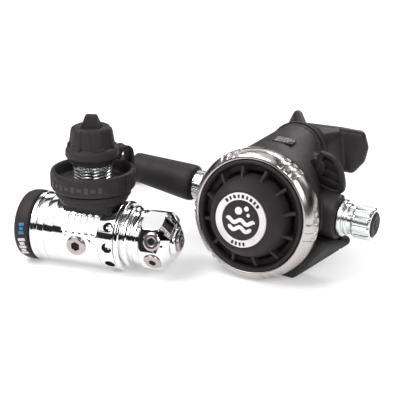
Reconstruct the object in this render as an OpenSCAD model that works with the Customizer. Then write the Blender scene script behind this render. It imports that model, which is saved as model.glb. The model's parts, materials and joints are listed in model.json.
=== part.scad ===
/* [First stage] */
// Outer diameter of the chrome first stage body
body_d = 40; // [39:0.5:41]
// Height of the body's axis above the table
axis_h = 20.9; // [20.9:0.1:22]
// Diameter of the black end cap
cap_d = 41.8; // [41:0.1:41.8]
// Length of the black end cap
cap_l = 11.4; // [10:0.2:12]
// Octagon turret, across its flats
turret_af = 33; // [32:0.5:33.5]
// Length of the swivel turret
turret_l = 17.9; // [17:0.1:18.5]
// Direction of the turret's first port above the horizontal, in degrees
turret_turn = 17; // [0:1:45]

/* [DIN connector] */
// Outer diameter of the rubber handwheel
wheel_d = 49.6; // [48:0.2:50]
// Height of the handwheel
wheel_h = 11.7; // [11:0.1:12.5]
// Major diameter of the threaded stud
stud_d = 22.9; // [22.7:0.1:22.9]
// Diameter of the dust cap's collar
cap_collar_d = 31.2; // [30:0.2:32]

/* [Hose] */
// Outer diameter of the low pressure hose
hose_d = 10; // [9.5:0.5:10.5]
// Length of the rubber hose protector
sleeve_l = 44; // [40:1:48]
// Diameter of the protector at the second stage
sleeve_d = 22.2; // [21:0.2:23]
// Diameter of the protector at its free end
sleeve_end_d = 17.8; // [17:0.2:19]

/* [Second stage] */
// Outer diameter of the chrome front ring
ring_d = 76.4; // [75:0.2:77]
// Outer diameter of the front cover's rim
cover_d = 65; // [64:0.5:66]
// Diameter of the round badge
badge_d = 31.6; // [30:0.2:32]
// Number of ribs in the front cover
cover_ribs = 12; // [8:1:16]
// Turn of the second stage about the vertical, in degrees
second_yaw = 8.4; // [7:0.2:10]
// Lean of the second stage's face to the rear, in degrees
second_lean = 6.2; // [6:0.1:7]
// Roll of the second stage about its face's normal, in degrees
second_roll = 3; // [2:0.5:4]
// Travel of the purge button
purge_travel = 2.2; // [2:0.1:2.2]

/* [Hidden] */
$fn = 64;

// Place of the handwheel's axis on the table
first_x = -58.8;
first_y = -45.2;
// Place of the second stage's ring centre, from the handwheel's axis
second_x = 94.1;
second_y = 13;
second_z = ring_d / 2 + 0.5;   // height of the ring's centre above the table

body_r = body_d / 2;
cap_r = cap_d / 2;
wheel_r = wheel_d / 2;
stud_r = stud_d / 2;
ring_r = ring_d / 2;
cover_r = cover_d / 2;
badge_r = badge_d / 2;
hose_r = hose_d / 2;
fit = 0.05;          // radial clearance of a running fit
gap = 0.3;           // air between bodies that move past each other

// Stations along the first stage's axis, from the handwheel's axis
cap_x = -33.8;       // right rim of the end cap
flange_x = -24;      // seam between flange ring and body
body_end_x = 10.6;   // seam between body and spanner ring
ridge_x = 20;        // seam between spanner ring and ridge ring
turret_x = 34;       // left face of the turret
rear_port_x = -16;   // hose port in the back of the body
front_port_x = -2.3; // high pressure port in the front of the body
back_plug_x = 4;     // high pressure port in the back of the body
turret_port_x = turret_x + 9;
turret_end_x = turret_x + turret_l;
port_r = 4.5;

// Heights above the first stage's axis, along the connector
wheel_z = 27.9;      // underside of the handwheel
wheel_floor_z = 32;  // floor of the handwheel's cup
stud_top_z = 51.5;
cap_z = 43.4;        // lower rim of the dust cap

// Valve barrel of the second stage, from the ring's centre
barrel_y = 26;
barrel_z = 2.6;
barrel_r = 13.4;
nut_x = -43.6;       // right end of the swivel nut
sleeve_x = -52;    // right end of the hose protector
fork_x = 10.5;        // place of the demand lever's fork
screw_x = 25;         // left end of the adjusting screw
sleeve_rise = 3;     // climb of the protector away from the barrel, in degrees
neck_z = 28.6;       // centre height of the mouthpiece neck
neck_y = 49;
lever_y = 37;        // place of the venturi lever's axis at the case's middle
lever_z = 31.5;
lever_x = 20.6;      // left end of the venturi lever's loop
lever_dip = 12;      // fall of the lever's axis to the right, in degrees

bite_x = 3;          // middle between the bite tabs
bite_z = 30;
label_y = 26.6;        // middle of the label plate, on the case's sloping top
label_turn = atan((neck_z + 17 - 36.4) / (neck_y - 14));
label_z = 36.4 + (label_y - 12) * tan(label_turn);

// Centreline of the hose, from the handwheel's axis on the table
ROUTE = [
  [44, 47, 41], [24, 50, 43], [3.5, 53.5, 45], [-11, 56, 46], [-28, 60.5, 45.5], [-43.5, 70.5, 43],
  [-54, 87, 38.5], [-56.5, 106, 32], [-50, 124, 25], [-36, 137, 18], [-17, 143, 11.5], [2, 140.5, 7.5],
  [18, 131, 5.5], [27, 119, 5.2], [33, 103, 5.2], [43, 88.5, 5.2], [59, 79.5, 5.2], [77, 79, 5.2],
  [93, 87, 5.2], [104, 101, 5.2], [107.5, 118, 5.2], [103.5, 135.5, 5.2], [92, 149.5, 5.2],
  [76, 157, 5.2], [57, 159, 5.2], [37, 157.5, 5.2], [16, 156.5, 5.2], [-2, 157, 5.2], [-18, 157, 5.2],
  [-34, 153, 5.2], [-48.5, 142, 5.2], [-57, 126, 5.2], [-58, 107.5, 6], [-51, 91, 8.5],
  [-39, 79.5, 12], [-26, 70, 16], [-18.5, 57.5, 19.5], [-16, 43, 20.9]
];

// ---------- shared shapes ----------
module on_first() {
  translate([first_x, first_y, axis_h]) children();
}

module on_second() {
  translate([first_x + second_x, first_y + second_y, second_z])
    rotate([0, 0, -second_yaw]) rotate([-second_lean, 0, 0]) rotate([0, second_roll, 0]) children();
}

// Cylinder along X from x0 to x1
module bar_x(r, x0, x1) {
  translate([x0, 0, 0]) rotate([0, 90, 0]) cylinder(r = r, h = x1 - x0);
}

// Solid turned about X; the outline's points are [radius, x]
module turned_x(outline) {
  rotate([0, 90, 0]) rotate_extrude() polygon(outline);
}

// Solid turned about Y, with +Y to the rear; the outline's points are [radius, y]
module turned_y(outline) {
  rotate([-90, 0, 0]) rotate_extrude() polygon(outline);
}

// Cylinder along Y from y0 to y1
module bar_y(r, y0, y1) {
  translate([0, y0, 0]) rotate([-90, 0, 0]) cylinder(r = r, h = y1 - y0);
}

// Puts a child's +Z along a radial port of the first stage; 0 faces the front, 90 is up
module radial(x, turn) {
  translate([x, 0, 0]) rotate([-turn, 0, 0]) rotate([90, 0, 0]) children();
}

// Screw plug with a round head and a hexagon socket, its head on height seat
module port_plug(seat, head_r, head_h, shank_r, shank_h, key) {
  difference() {
    union() {
      translate([0, 0, seat]) cylinder(r1 = head_r, r2 = head_r - 0.6, h = head_h);
      translate([0, 0, seat - shank_h]) cylinder(r = shank_r, h = shank_h + 0.1);
    }
    translate([0, 0, seat + head_h - 3]) cylinder(d = key / cos(30), h = 4, $fn = 6);
  }
}

// Coil spring between two heights on Z
module coil_spring(r, wire, h, turns, steps = 14) {
  n = turns * steps;
  ring = [for (a = [0:60:300]) [wire * cos(a), wire * sin(a)]];
  points = [for (i = [0:n]) for (p = ring)
    let (t = 360 * i / steps, z = wire + (h - 2 * wire) * i / n)
    [(r + p[0]) * cos(t), (r + p[0]) * sin(t), z + p[1]]];
  sides = [for (i = [0:n - 1]) for (k = [0:5])
    [i * 6 + k, i * 6 + (k + 1) % 6, (i + 1) * 6 + (k + 1) % 6, (i + 1) * 6 + k]];
  ends = [[for (k = [5:-1:0]) k], [for (k = [0:5]) n * 6 + k]];
  polyhedron(points, concat(sides, ends), convexity = 6);
}

// ---------- first stage ----------
module main_body() {
  color("silver") on_first() difference() {
    union() {
      turned_x([[0, flange_x], [body_r, flange_x], [body_r, body_end_x], [12, body_end_x],
                [12, ridge_x - 0.1], [0, ridge_x - 0.1]]);
      radial(front_port_x, -5) translate([0, 0, 12]) cylinder(r = 9, h = body_r - 11.3);
      radial(rear_port_x, 180) translate([0, 0, 16]) cylinder(r = 7.5, h = body_r - 15.5);
      radial(back_plug_x, 180) translate([0, 0, 12]) cylinder(r = 6.2, h = body_r - 11.7);
      translate([0, 0, 10]) cylinder(r = 10.5, h = 14);
    }
    bar_x(14, flange_x - 1, -16);
    bar_x(11, -16.1, -9);
    bar_x(1.7, -10, 2);
    bar_x(4, -6, -2);
    bar_x(6.2, -2.1, ridge_x);
    cylinder(r = 3, h = 25);
    translate([0, 0, 18]) cylinder(r = 8.1, h = 7);
    radial(front_port_x, -5) translate([0, 0, 8]) cylinder(r = port_r, h = 20);
    radial(front_port_x, -5) cylinder(r = 1, h = 10);
    radial(back_plug_x, 180) translate([0, 0, 8]) cylinder(r = port_r, h = 20);
    radial(back_plug_x, 180) cylinder(r = 1, h = 10);
    radial(rear_port_x, 180) translate([0, 0, 14.1]) cylinder(r = 5.1, h = 12);
    radial(rear_port_x, 180) translate([0, 0, 12]) cylinder(r = 2, h = 4);
    window_recess();
  }
}

// Shallow rounded recess with five slots, four pillars between them
module window_recess() {
  radial(-1.2, 33) translate([0, 0, 16.6]) {
    translate([0, 0, 1.2]) linear_extrude(7) offset(2, $fn = 24) square([18.5, 10.5], center = true);
    for (i = [-2:2])
      translate([i * 4.1, 0, 0]) linear_extrude(4) offset(1.2, $fn = 24) square([0.6, 8.6], center = true);
  }
}

module flange_ring() {
  color("silver") on_first() turned_x([
    [14, cap_x + 0.1], [19.4, cap_x + 0.1], [20.5, -32.8], [20.5, -30.6], [19.3, -30], [19.3, -28.6],
    [20.3, -28], [20.3, flange_x], [14, flange_x]]);
}

module end_cap() {
  left = cap_x - cap_l;
  color("#2b2829") on_first() turned_x([
    [12, left + 2.6], [15.5, left + 2.6], [15.5, left + 1], [17.6, left + 1], [19.6, left + 2.4],
    [20.5, left + 4.4], [cap_r, left + 7], [cap_r, cap_x - 0.6], [cap_r - 0.6, cap_x], [12, cap_x]]);
}

// Raised disc on the cap's end with pin notches round its edge
module cap_disc() {
  left = cap_x - cap_l;
  color("#242122") on_first() difference() {
    turned_x([[0, left], [13.6, left], [15.4, left + 1.2], [15.4, left + 2.5], [11.9, left + 2.5],
              [11.9, cap_x - 0.1], [0, cap_x - 0.1]]);
    for (a = [0:45:315])
      rotate([a, 0, 0]) translate([left - 1, -2, 11.8]) cube([2.6, 4, 5]);
    bar_x(3.2, left - 1, left + 4);
  }
}

module spanner_ring() {
  color("silver") on_first() difference() {
    bar_x(body_r, body_end_x + 0.1, ridge_x - 0.1);
    bar_x(12.05, body_end_x, ridge_x);
    for (a = [0:36:324])
      radial(16.6, a - 4) translate([0, 0, body_r - 3.2]) cylinder(r = 3.2, h = 6, $fn = 40);
  }
}

module ridge_ring() {
  color("silver") on_first() turned_x([
    [6 + fit, ridge_x], [19.6, ridge_x], [20.6, ridge_x + 0.8], [20.6, ridge_x + 2.6],
    [19.8, ridge_x + 3.4], [16.4, ridge_x + 3.6], [16.4, ridge_x + 4.6], [17.8, ridge_x + 4.8],
    [18.5, ridge_x + 5.6], [18.5, ridge_x + 6.6], [17.8, ridge_x + 7.4], [15.2, ridge_x + 7.8],
    [15.2, ridge_x + 10], [16.5, ridge_x + 10.6], [16.5, ridge_x + 12.2], [15.6, ridge_x + 12.8],
    [15.2, turret_x - 0.2], [6 + fit, turret_x - 0.2]]);
}

module main_spring() {
  color("dimgray") on_first() translate([cap_x + 0.2, 0, 0]) rotate([0, 90, 0])
    coil_spring(9.5, 1.2, 15.3, 4);
}

module main_diaphragm() {
  color("#1d1b1c") on_first() turned_x([[0, -17.2], [7, -18], [13.8, -17.2], [13.8, -16.7],
                                        [7, -17.2], [0, -16.2]]);
}

module push_pin() {
  color("goldenrod") on_first() union() {
    bar_x(6, -16.1, -14.5);
    bar_x(1.2, -15, 0.55);
  }
}

module seat_orifice() {
  color("goldenrod") on_first() difference() {
    bar_x(3.95, -5.9, -2.1);
    bar_x(1.6, -7, 0);
  }
}

module inlet_poppet() {
  color("white") on_first() turned_x([[0, 0.6], [2, 0.6], [3.4, 1.6], [3.4, 4.5], [2, 4.6],
                                      [2, 9], [0, 9]]);
}

module poppet_spring() {
  color("dimgray") on_first() translate([4.8, 0, 0]) rotate([0, 90, 0]) coil_spring(3.4, 0.5, 13, 5);
}

module port_plug_front() {
  color("silver") on_first() radial(front_port_x, -5) port_plug(body_r + 0.75, 6, 1.6, port_r - fit, 8, 5);
}

module port_plug_rear() {
  color("silver") on_first() radial(back_plug_x, 180) port_plug(body_r + 0.35, 6, 1.6, port_r - fit, 8, 5);
}

// Black stepped seat between the body and the handwheel
module saddle() {
  color("#2b2829") on_first() difference() {
    union() {
      intersection() {
        translate([0, 0, 11]) cylinder(r = 18.5, h = 10.1);
        translate([-20, -12.4, 0]) cube([40, 24.8, 30]);
      }
      translate([0, 0, 21]) cylinder(r1 = 20.2, r2 = 20.8, h = 3);
    }
    bar_x(body_r + fit, -30, 30);
    cylinder(r = 11.25, h = 40);
  }
}

// Rubber strap: a ring under the handwheel and a tail that arches up to the dust cap
module strap() {
  color("#242122") on_first() union() {
    difference() {
      translate([0, 0, 24.05]) cylinder(r = 22, h = 3.4);
      translate([0, 0, 23]) cylinder(r = 11.25, h = 6);
    }
    rotate([0, 0, 60]) rotate([90, 0, 0]) linear_extrude(8, center = true) {
      translate([20, 24.6]) square([7.1, 2]);
      translate([25.2, 24.6]) square([1.9, 19.1]);
      translate([21.55, 43.6]) difference() {
        circle(r = 5.55);
        circle(r = 3.65);
        translate([-10, -20]) square([20, 20]);
      }
      translate([16, 42.4]) square([1.9, 1.3]);
    }
  }
}

module inlet_tube() {
  color("silver") on_first() difference() {
    union() {
      translate([0, 0, 18.1]) cylinder(r = 8, h = 10);
      translate([0, 0, 28]) cylinder(r = 7.4, h = stud_top_z - 28.6);
    }
    translate([0, 0, 17]) cylinder(r = 4.2, h = 40);
    translate([0, 0, stud_top_z - 1.6]) rotate_extrude() translate([6, 0.9]) circle(r = 1, $fn = 24);
  }
}

module inlet_filter() {
  color("tan") on_first() translate([0, 0, 36]) cylinder(r1 = 4.1, r2 = 2, h = 12);
}

module din_oring() {
  color("black") on_first() translate([0, 0, stud_top_z - 0.7])
    rotate_extrude() translate([6, 0]) circle(r = 0.85, $fn = 24);
}

// Stud of the connector, a plain cylinder of the thread's major diameter
module din_stud() {
  color("silver") on_first() difference() {
    union() {
      translate([0, 0, wheel_z + 0.6]) cylinder(r = 13.5, h = 3);
      translate([0, 0, wheel_z + 3]) cylinder(r = stud_r, h = stud_top_z - wheel_z - 3);
    }
    translate([0, 0, 20]) cylinder(r = 7.4 + fit, h = 40);
    translate([0, 0, 20]) cylinder(r = 8.2, h = 8.4);
  }
}

// Rubber handwheel: a cup with three pairs of grip flats
module handwheel() {
  color("#2b2829") on_first() difference() {
    translate([0, 0, wheel_z]) rotate_extrude($fn = 96) polygon([
      [0, 0], [wheel_r - 1.6, 0], [wheel_r - 0.4, 0.8], [wheel_r, 2.4], [wheel_r, wheel_h - 2.2],
      [wheel_r - 0.5, wheel_h - 0.8], [wheel_r - 1.6, wheel_h], [wheel_r - 2.6, wheel_h],
      [wheel_r - 3.6, wheel_h - 1], [wheel_r - 4.2, 4.8], [wheel_r - 5, 4.1], [0, 4.1]]);
    for (a = [-23, 97, 217])
      rotate([0, 0, a]) {
        translate([wheel_r - 0.45, -3.4, wheel_z - 1]) cube([2, 6.8, 20]);
        for (s = [-1, 1])
          translate([wheel_r - 0.9, s * 4.2 - 0.35, wheel_z - 1]) cube([2, 0.7, 20]);
      }
    translate([0, 0, 20]) cylinder(r = stud_r + 0.01, h = 20);
    translate([0, 0, wheel_z + 0.55]) cylinder(r = 13.52, h = 3.1);
  }
}

// Dust cap: skirt, collar, ribbed dome and a pull tab on top
module dust_cap() {
  color("#2b2829") on_first() difference() {
    union() {
      translate([0, 0, cap_z]) rotate_extrude() polygon([
        [0, 0], [13.4, 0], [13.6, 1.6], [15.2, 3], [cap_collar_d / 2, 4], [cap_collar_d / 2, 8],
        [15.2, 8.8], [13.4, 9.4], [12.1, 18.4], [11.2, 20.6], [8, 22.6], [4, 23.4], [0, 23.5]]);
      translate([0, 0, 66]) hull() {
        cube([9, 5, 0.5], center = true);
        translate([0, 0, 5.2]) cube([5.4, 3, 0.5], center = true);
      }
    }
    translate([0, 0, cap_z - 1]) cylinder(r = stud_r + gap, h = 10);
    translate([0, 0, cap_z + 8]) cylinder(r1 = stud_r + gap, r2 = 9, h = 3);
    for (a = [10:60:310])
      rotate([0, 0, a + 60]) translate([12.5, -4.2, cap_z + 10.2]) rotate([0, -8, 0]) cube([3, 8.4, 8.6]);
  }
}

// Swivel turret: an octagonal block with a coned end, ports on four faces and one on the end
module turret() {
  flat = turret_af / 2;
  color("silver") on_first() difference() {
    intersection() {
      rotate([-turret_turn, 0, 0]) rotate([22.5, 0, 0]) translate([turret_x + 0.1, 0, 0])
        rotate([0, 90, 0]) cylinder(r = flat / cos(22.5), h = turret_l + 4, $fn = 8);
      turned_x([[0, turret_x], [16.2, turret_x], [17.5, turret_x + 1.4], [17.6, turret_x + 12.4],
                [10.6, turret_end_x - 0.4], [8.6, turret_end_x - 0.2], [8.2, turret_end_x + 1.4],
                [6.6, turret_end_x + 2], [0, turret_end_x + 2]]);
    }
    bar_x(6 + fit, turret_x - 1, turret_x + 6);
    bar_x(10, turret_x + 4, turret_x + 14);
    bar_x(port_r, turret_x + 13, turret_end_x + 4);
    for (a = [0, -45, 180, 135])
      radial(turret_port_x, turret_turn + a) cylinder(r = port_r, h = 20);
    radial(turret_end_x - 2.6, 8) cylinder(r = 0.6, h = 20, $fn = 16);
  }
}

// Hollow bolt that the turret swivels on, its head inside the turret
module turret_bolt() {
  color("silver") on_first() difference() {
    union() {
      bar_x(6, ridge_x - 2, turret_x + 5);
      bar_x(8.4, turret_x + 4.2, turret_x + 6);
    }
    bar_x(3, ridge_x - 4, turret_x + 7);
  }
}

module lp_plug(turn) {
  color("silver") on_first() radial(turret_port_x, turn)
    port_plug(turret_af / 2 + 0.02, 5.35, 1.4, port_r - 0.02, 5, 4);
}

module axial_plug() {
  color("silver") on_first() rotate([0, 90, 0])
    port_plug(turret_end_x + 2.02, 5.35, 1.3, port_r - 0.02, 5, 4);
}

// ---------- hose ----------
// Crimped fitting in the back of the first stage: thread, hexagon and ferrule
module hose_fitting() {
  color("silver") on_first() radial(rear_port_x, 180) {
    translate([0, 0, 14.2]) cylinder(r = 5, h = body_r - 13);
    translate([0, 0, body_r + 0.55]) cylinder(d = 14 / cos(30), h = 6, $fn = 6);
    translate([0, 0, body_r + 6]) cylinder(r = 6.8, h = 43 - body_r - 6);
  }
}

// Position on the smooth curve through the route, at segment i and share t
function route_at(i, t) =
  let (last = len(ROUTE) - 1,
       b = ROUTE[i], c = ROUTE[min(i + 1, last)],
       a = i > 0 ? ROUTE[i - 1] : 2 * b - c,
       d = i + 2 <= last ? ROUTE[i + 2] : 2 * c - b)
  0.5 * (2 * b + (c - a) * t + (2 * a - 5 * b + 4 * c - d) * t * t + (3 * b - a - 3 * c + d) * t * t * t);

function unit(v) = v / norm(v);

// Ring of points round the centreline, with its first point as high as it can be
function hose_ring(p, along, sides) =
  let (side = unit(cross(along, [0, 0, 1])), up = cross(side, along))
  [for (k = [0:sides - 1]) p + hose_r * (cos(360 * k / sides) * side + sin(360 * k / sides) * up)];

module hose() {
  sides = 12;
  per = 2;
  last = len(ROUTE) - 1;
  line = [for (i = [0:last - 1]) for (k = [0:per - 1]) route_at(i, k / per), ROUTE[last]];
  n = len(line);
  points = [for (i = [0:n - 1]) for (p = hose_ring(line[i],
    unit(line[min(i + 1, n - 1)] - line[max(i - 1, 0)]), sides)) p];
  faces = [for (i = [0:n - 2]) for (k = [0:sides - 1])
    [i * sides + k, (i + 1) * sides + k, (i + 1) * sides + (k + 1) % sides, i * sides + (k + 1) % sides]];
  ends = [[for (k = [0:sides - 1]) k], [for (k = [sides - 1:-1:0]) (n - 1) * sides + k]];
  color("#2b2829") translate([first_x, first_y, 0]) polyhedron(points, concat(faces, ends), convexity = 10);
}

module on_barrel() {
  on_second() translate([0, barrel_y, barrel_z]) children();
}

// Stem of the hose's fitting, in the inlet of the valve barrel, with its crimped ferrule
module hose_stem() {
  color("silver") on_barrel() {
    bar_x(3.9, -53, -45);
    bar_x(6.2, -55, -50.6);
  }
}

module hose_sleeve() {
  a = sleeve_d / 2;
  b = sleeve_end_d / 2;
  color("#2b2829") on_barrel() translate([sleeve_x, 0, 0]) rotate([0, sleeve_rise, 0]) turned_x([
    [6.4, 0], [a - 1.6, 0], [a - 0.3, -1], [a, -2.6],
    [b, 2.4 - sleeve_l], [b - 0.5, 0.8 - sleeve_l], [b - 1.8, -sleeve_l],
    [hose_r + 0.3, -sleeve_l], [hose_r + 0.3, -4], [6.4, -3.4]]);
}

// Knurled nut that holds the hose on the valve barrel
module swivel_nut() {
  color("silver") on_barrel() difference() {
    turned_x([[6.3, -51.3], [8.4, -51.3], [9, -50.5], [9, nut_x - 0.8], [8.4, nut_x], [6.3, nut_x]]);
    bar_x(6.6 + fit, -50.4, nut_x + 1);
    for (a = [0:20:340])
      rotate([a, 0, 0]) translate([-50.4, -0.5, 8.5]) cube([nut_x + 49.4, 1, 2]);
  }
}

// ---------- second stage ----------
// Outer form of the case at wall distance w inside its skin
module case_form(w) {
  hull() {
    bar_y(36.4 - w, 3 + w, 12);
    bar_y(34 - w, 12, 17);
    translate([0, 0, neck_z]) bar_y(17 - w, neck_y - 2 - w, neck_y - w);
  }
}

// Frame of the venturi lever: X runs out along its axis
module on_lever() {
  translate([0, lever_y, lever_z]) rotate([0, lever_dip, 0]) children();
}

module case() {
  color("#2b2829") on_second() difference() {
    union() {
      case_form(0);
      translate([0, 0, neck_z]) bar_y(15, neck_y - 3, neck_y + 14);
      translate([0, barrel_y, barrel_z]) bar_x(barrel_r, -43, 43.6);
      on_lever() bar_x(6.4, 8, lever_x - gap);
      bar_y(36.6, 2.9, 4.2);
      translate([0, 20, -30]) cylinder(r = 12.6, h = 12);
    }
    turned_y([[36.65, 0], [48, 0], [48, 7.9], [36.65, 7.9]]);
    difference() {
      case_form(2);
      translate([0, barrel_y, barrel_z]) bar_x(barrel_r, -50, -17);
      translate([0, barrel_y, barrel_z]) bar_x(barrel_r, 12, 50);
      on_lever() bar_x(14.5, lever_x - 2.6, 40);
    }
    on_lever() bar_x(12.6, lever_x - gap, 50);
    bar_y(33.6, 2.8, 8);
    translate([0, 0, neck_z]) bar_y(12.4, 30, neck_y + 15);
    translate([0, barrel_y, barrel_z]) bar_x(9.02, -44, 45);
    on_lever() bar_x(3 + fit, 4, 24);
    translate([0, 20, -40]) cylinder(r = 9.5, h = 24);
    translate([0, 20, -42]) cylinder(r = 12.4, h = 11.9);
    translate([0, label_y, label_z]) rotate([label_turn, 0, 0]) translate([0, 0, -0.6])
      linear_extrude(3) offset(1.2, $fn = 24) square([11.2, 6], center = true);
  }
}

// Chrome ring with six groups of three notches
module front_ring() {
  color("silver") on_second() difference() {
    turned_y([[cover_r + 0.3, -5.4], [34.2, -5.4], [36.4, -3.4], [37.8, -0.6], [ring_r, 1.6],
              [ring_r, 6.4], [37.5, 7.6], [36.7, 7.6], [36.7, 2.8], [cover_r + 0.3, 2.8]]);
    for (g = [0:60:300])
      for (k = [-1:1])
        rotate([0, g + 2 + k * 7.5, 0]) translate([36.6, -4.6, -1.5]) cube([4, 8.6, 3]);
  }
}

// Front cover: rim, recessed channel with ribs and a ring round the purge button
module front_cover() {
  color("#2b2829") on_second() difference() {
    union() {
      turned_y([[30, -1], [30, -4.6], [30.8, -6], [31.8, -6], [cover_r, -5], [cover_r, 2.7],
                [24.6, 2.7], [24.6, 1.4], [26, 1.4], [26, -0.6]]);
      turned_y([[24.6, 2.7], [24.6, -5.6], [25.4, -6], [26.2, -5.4], [26.2, 2.7]]);
      turned_y([[20.4, 2.7], [20.4, 1.7], [25, 1.7], [25, 2.7]]);
      for (i = [0:cover_ribs - 1])
        rotate([0, 360 / cover_ribs * (i + 0.5), 0]) translate([26, -4.4, -0.9]) cube([4.6, 4, 1.8]);
    }
    for (i = [0:cover_ribs - 1])
      rotate([0, 360 / cover_ribs * i, 0]) translate([28, -3, 0]) rotate([-90, 0, 0])
        cylinder(r = 1.5, h = 8, $fn = 24);
  }
}

module purge_button() {
  color("#2b2829") on_second() turned_y([
    [0, -15.6], [badge_r + 0.2, -15.6], [badge_r + 0.2, -16.6], [17.2, -16.8], [18.4, -16.2],
    [20.6, -13.4], [22.6, -10], [23.9, -6], [24.25, -2.4], [24.25, -1.4], [19, -1.4], [19, -4],
    [16, -9], [6, -12], [6, 3.3], [0, 3.3]]);
}

// Round badge: a pale ring round a dark centre with a raised wave
module badge() {
  color("white") on_second() difference() {
    bar_y(badge_r, -17, -15.65);
    bar_y(11.6, -17.2, -16.7);
  }
}

module purge_spring() {
  color("dimgray") on_second() translate([0, -1.35, 0]) rotate([-90, 0, 0]) coil_spring(21.6, 0.35, 3, 2, 30);
}

module diaphragm() {
  color("#3a3738") on_second() turned_y([
    [0, 3.4], [12, 3.4], [12, 4], [24, 4], [26, 3.6], [28, 4], [30.5, 4], [30.5, 4.8], [12, 4.8], [0, 4.8]]);
}

// Demand lever: a fork in the valve barrel and an arm that ends behind the diaphragm
module demand_lever() {
  color("silver") on_second() translate([fork_x, 0, barrel_z]) {
    for (s = [-1, 1]) {
      translate([-0.9, 15, s * 3.4 - 1]) cube([1.8, 10, 2]);
      translate([0, 20.2, s * 3.4 - 1]) cylinder(r = 1.4, h = 2, $fn = 24);
    }
    translate([-0.9, 14.2, -4.4]) cube([1.8, 1.8, 8.8]);
    hull() {
      translate([0, 14.9, 0]) cylinder(r = 0.9, h = 4, center = true, $fn = 24);
      translate([-11.5, 6, 0]) cylinder(r = 0.9, h = 4, center = true, $fn = 24);
    }
  }
}

module valve_barrel() {
  color("silver") on_barrel() difference() {
    union() {
      bar_x(9, -43, 43.5);
      bar_x(6.6, -50, -42);
    }
    bar_x(3.9 + fit, -55, -44.5);
    bar_x(6, -44.6, 45);
    translate([fork_x - 3.5, -11, -5.2]) cube([7, 10, 10.4]);
  }
}

module orifice_tube() {
  color("goldenrod") on_barrel() difference() {
    bar_x(5.95, -44, -24);
    bar_x(2.4, -45, -23);
  }
}

module demand_poppet() {
  color("white") on_barrel() {
    bar_x(3.6, -23.4, -20.4);
    bar_x(1.8, -21, fork_x + 2.9);
    bar_x(4.6, fork_x + 1.1, fork_x + 2.9);
  }
}

module demand_spring() {
  color("dimgray") on_barrel() translate([fork_x + 3, 0, 0]) rotate([0, 90, 0])
    coil_spring(3.6, 0.4, screw_x - fork_x - 3.1, 6, 12);
}

module adjusting_screw() {
  color("silver") on_barrel() {
    bar_x(5.9, screw_x, screw_x + 9);
    bar_x(3, screw_x + 8.9, 54);
  }
}

// Chrome gland that closes the barrel's knob end
module gland_ring() {
  color("silver") on_barrel() turned_x([
    [3.1, 43.7], [10.7, 43.7], [10.8, 44.4], [10.8, 46.2], [10.2, 46.8], [8.8, 46.9], [8.8, 48],
    [8.2, 48.2], [8.2, 52.2], [3.1, 52.2]]);
}

module knob() {
  color("silver") on_barrel() difference() {
    turned_x([[3 + fit, 52.5], [8.6, 52.5], [9.7, 53.4], [9.7, 62.4], [8.9, 63.4], [7.2, 63.6],
              [7.2, 62.9], [3 + fit, 62.9]]);
    for (a = [0:30:330])
      rotate([a, 0, 0]) translate([53.6, 0, 11.6]) rotate([0, 90, 0]) cylinder(r = 2.3, h = 8.4, $fn = 24);
  }
}

module knob_insert() {
  color("#1d1b1c") on_barrel() turned_x([[0, 63], [7.1, 63], [7.1, 63.6], [6.2, 64.6], [0, 64.6]]);
}

// Butterfly lever of the venturi vane: a D-shaped loop with three steps inside
module venturi_lever() {
  color("#2b2829") on_second() on_lever() {
    bar_x(5.6, lever_x, lever_x + 1.6);
    bar_x(3, 6, lever_x + 0.1);
    translate([lever_x, 0, 0]) rotate([90, 0, 0]) difference() {
      linear_extrude(4.4, center = true) lever_outline(0);
      linear_extrude(6, center = true) lever_outline(2.4);
    }
    for (i = [0:2])
      translate([lever_x + 3, -1.8 + 0.5 * i, -6.9 + 4 * i]) cube([14 - 2.2 * i, 2, 3.9]);
  }
}

module lever_outline(inset) {
  offset(-inset, $fn = 32) offset(3, $fn = 32)
    polygon([[3.2, 7.6], [7, 7.4], [13.4, 0], [16.2, -5], [15.4, -7.4], [3.2, -6.4]]);
}

module venturi_vane() {
  color("#2b2829") on_second() on_lever() translate([-4, -1, -5]) cube([10.05, 2, 10]);
}

// Mushroom valve under the case
module exhaust_valve() {
  color("#3a3738") on_second() translate([0, 20, 0]) {
    translate([0, 0, -31.2]) cylinder(r = 11.5, h = 1);
    translate([0, 0, -31]) cylinder(r = 1.4, h = 5);
  }
}

// Exhaust tee: a wide hollow wedge with an outlet on each side
module exhaust_tee() {
  color("#2b2829") on_second() difference() {
    hull() {
      for (s = [-1, 1]) {
        translate([s * 23, 13, -33.6]) sphere(r = 2.4, $fn = 32);
        translate([s * 24, 23, -32.7]) sphere(r = 2.4, $fn = 32);
        translate([s * 45, 33, -12.5]) sphere(r = 3, $fn = 32);
        translate([s * 38, 15, -13]) sphere(r = 3, $fn = 32);
      }
      translate([0, 36, -10]) sphere(r = 3, $fn = 32);
    }
    case_form(-0.05);
    translate([0, barrel_y, barrel_z]) bar_x(barrel_r + 0.05, -60, 60);
    bar_y(40, -10, 9);
    translate([0, 20, -33.2]) cylinder(r = 13, h = 32);
    for (s = [-1, 1])
      translate([s * 24, 24, -25]) rotate([0, -s * 22, s * 12]) cube([42, 12, 6], center = true);
  }
}

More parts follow.
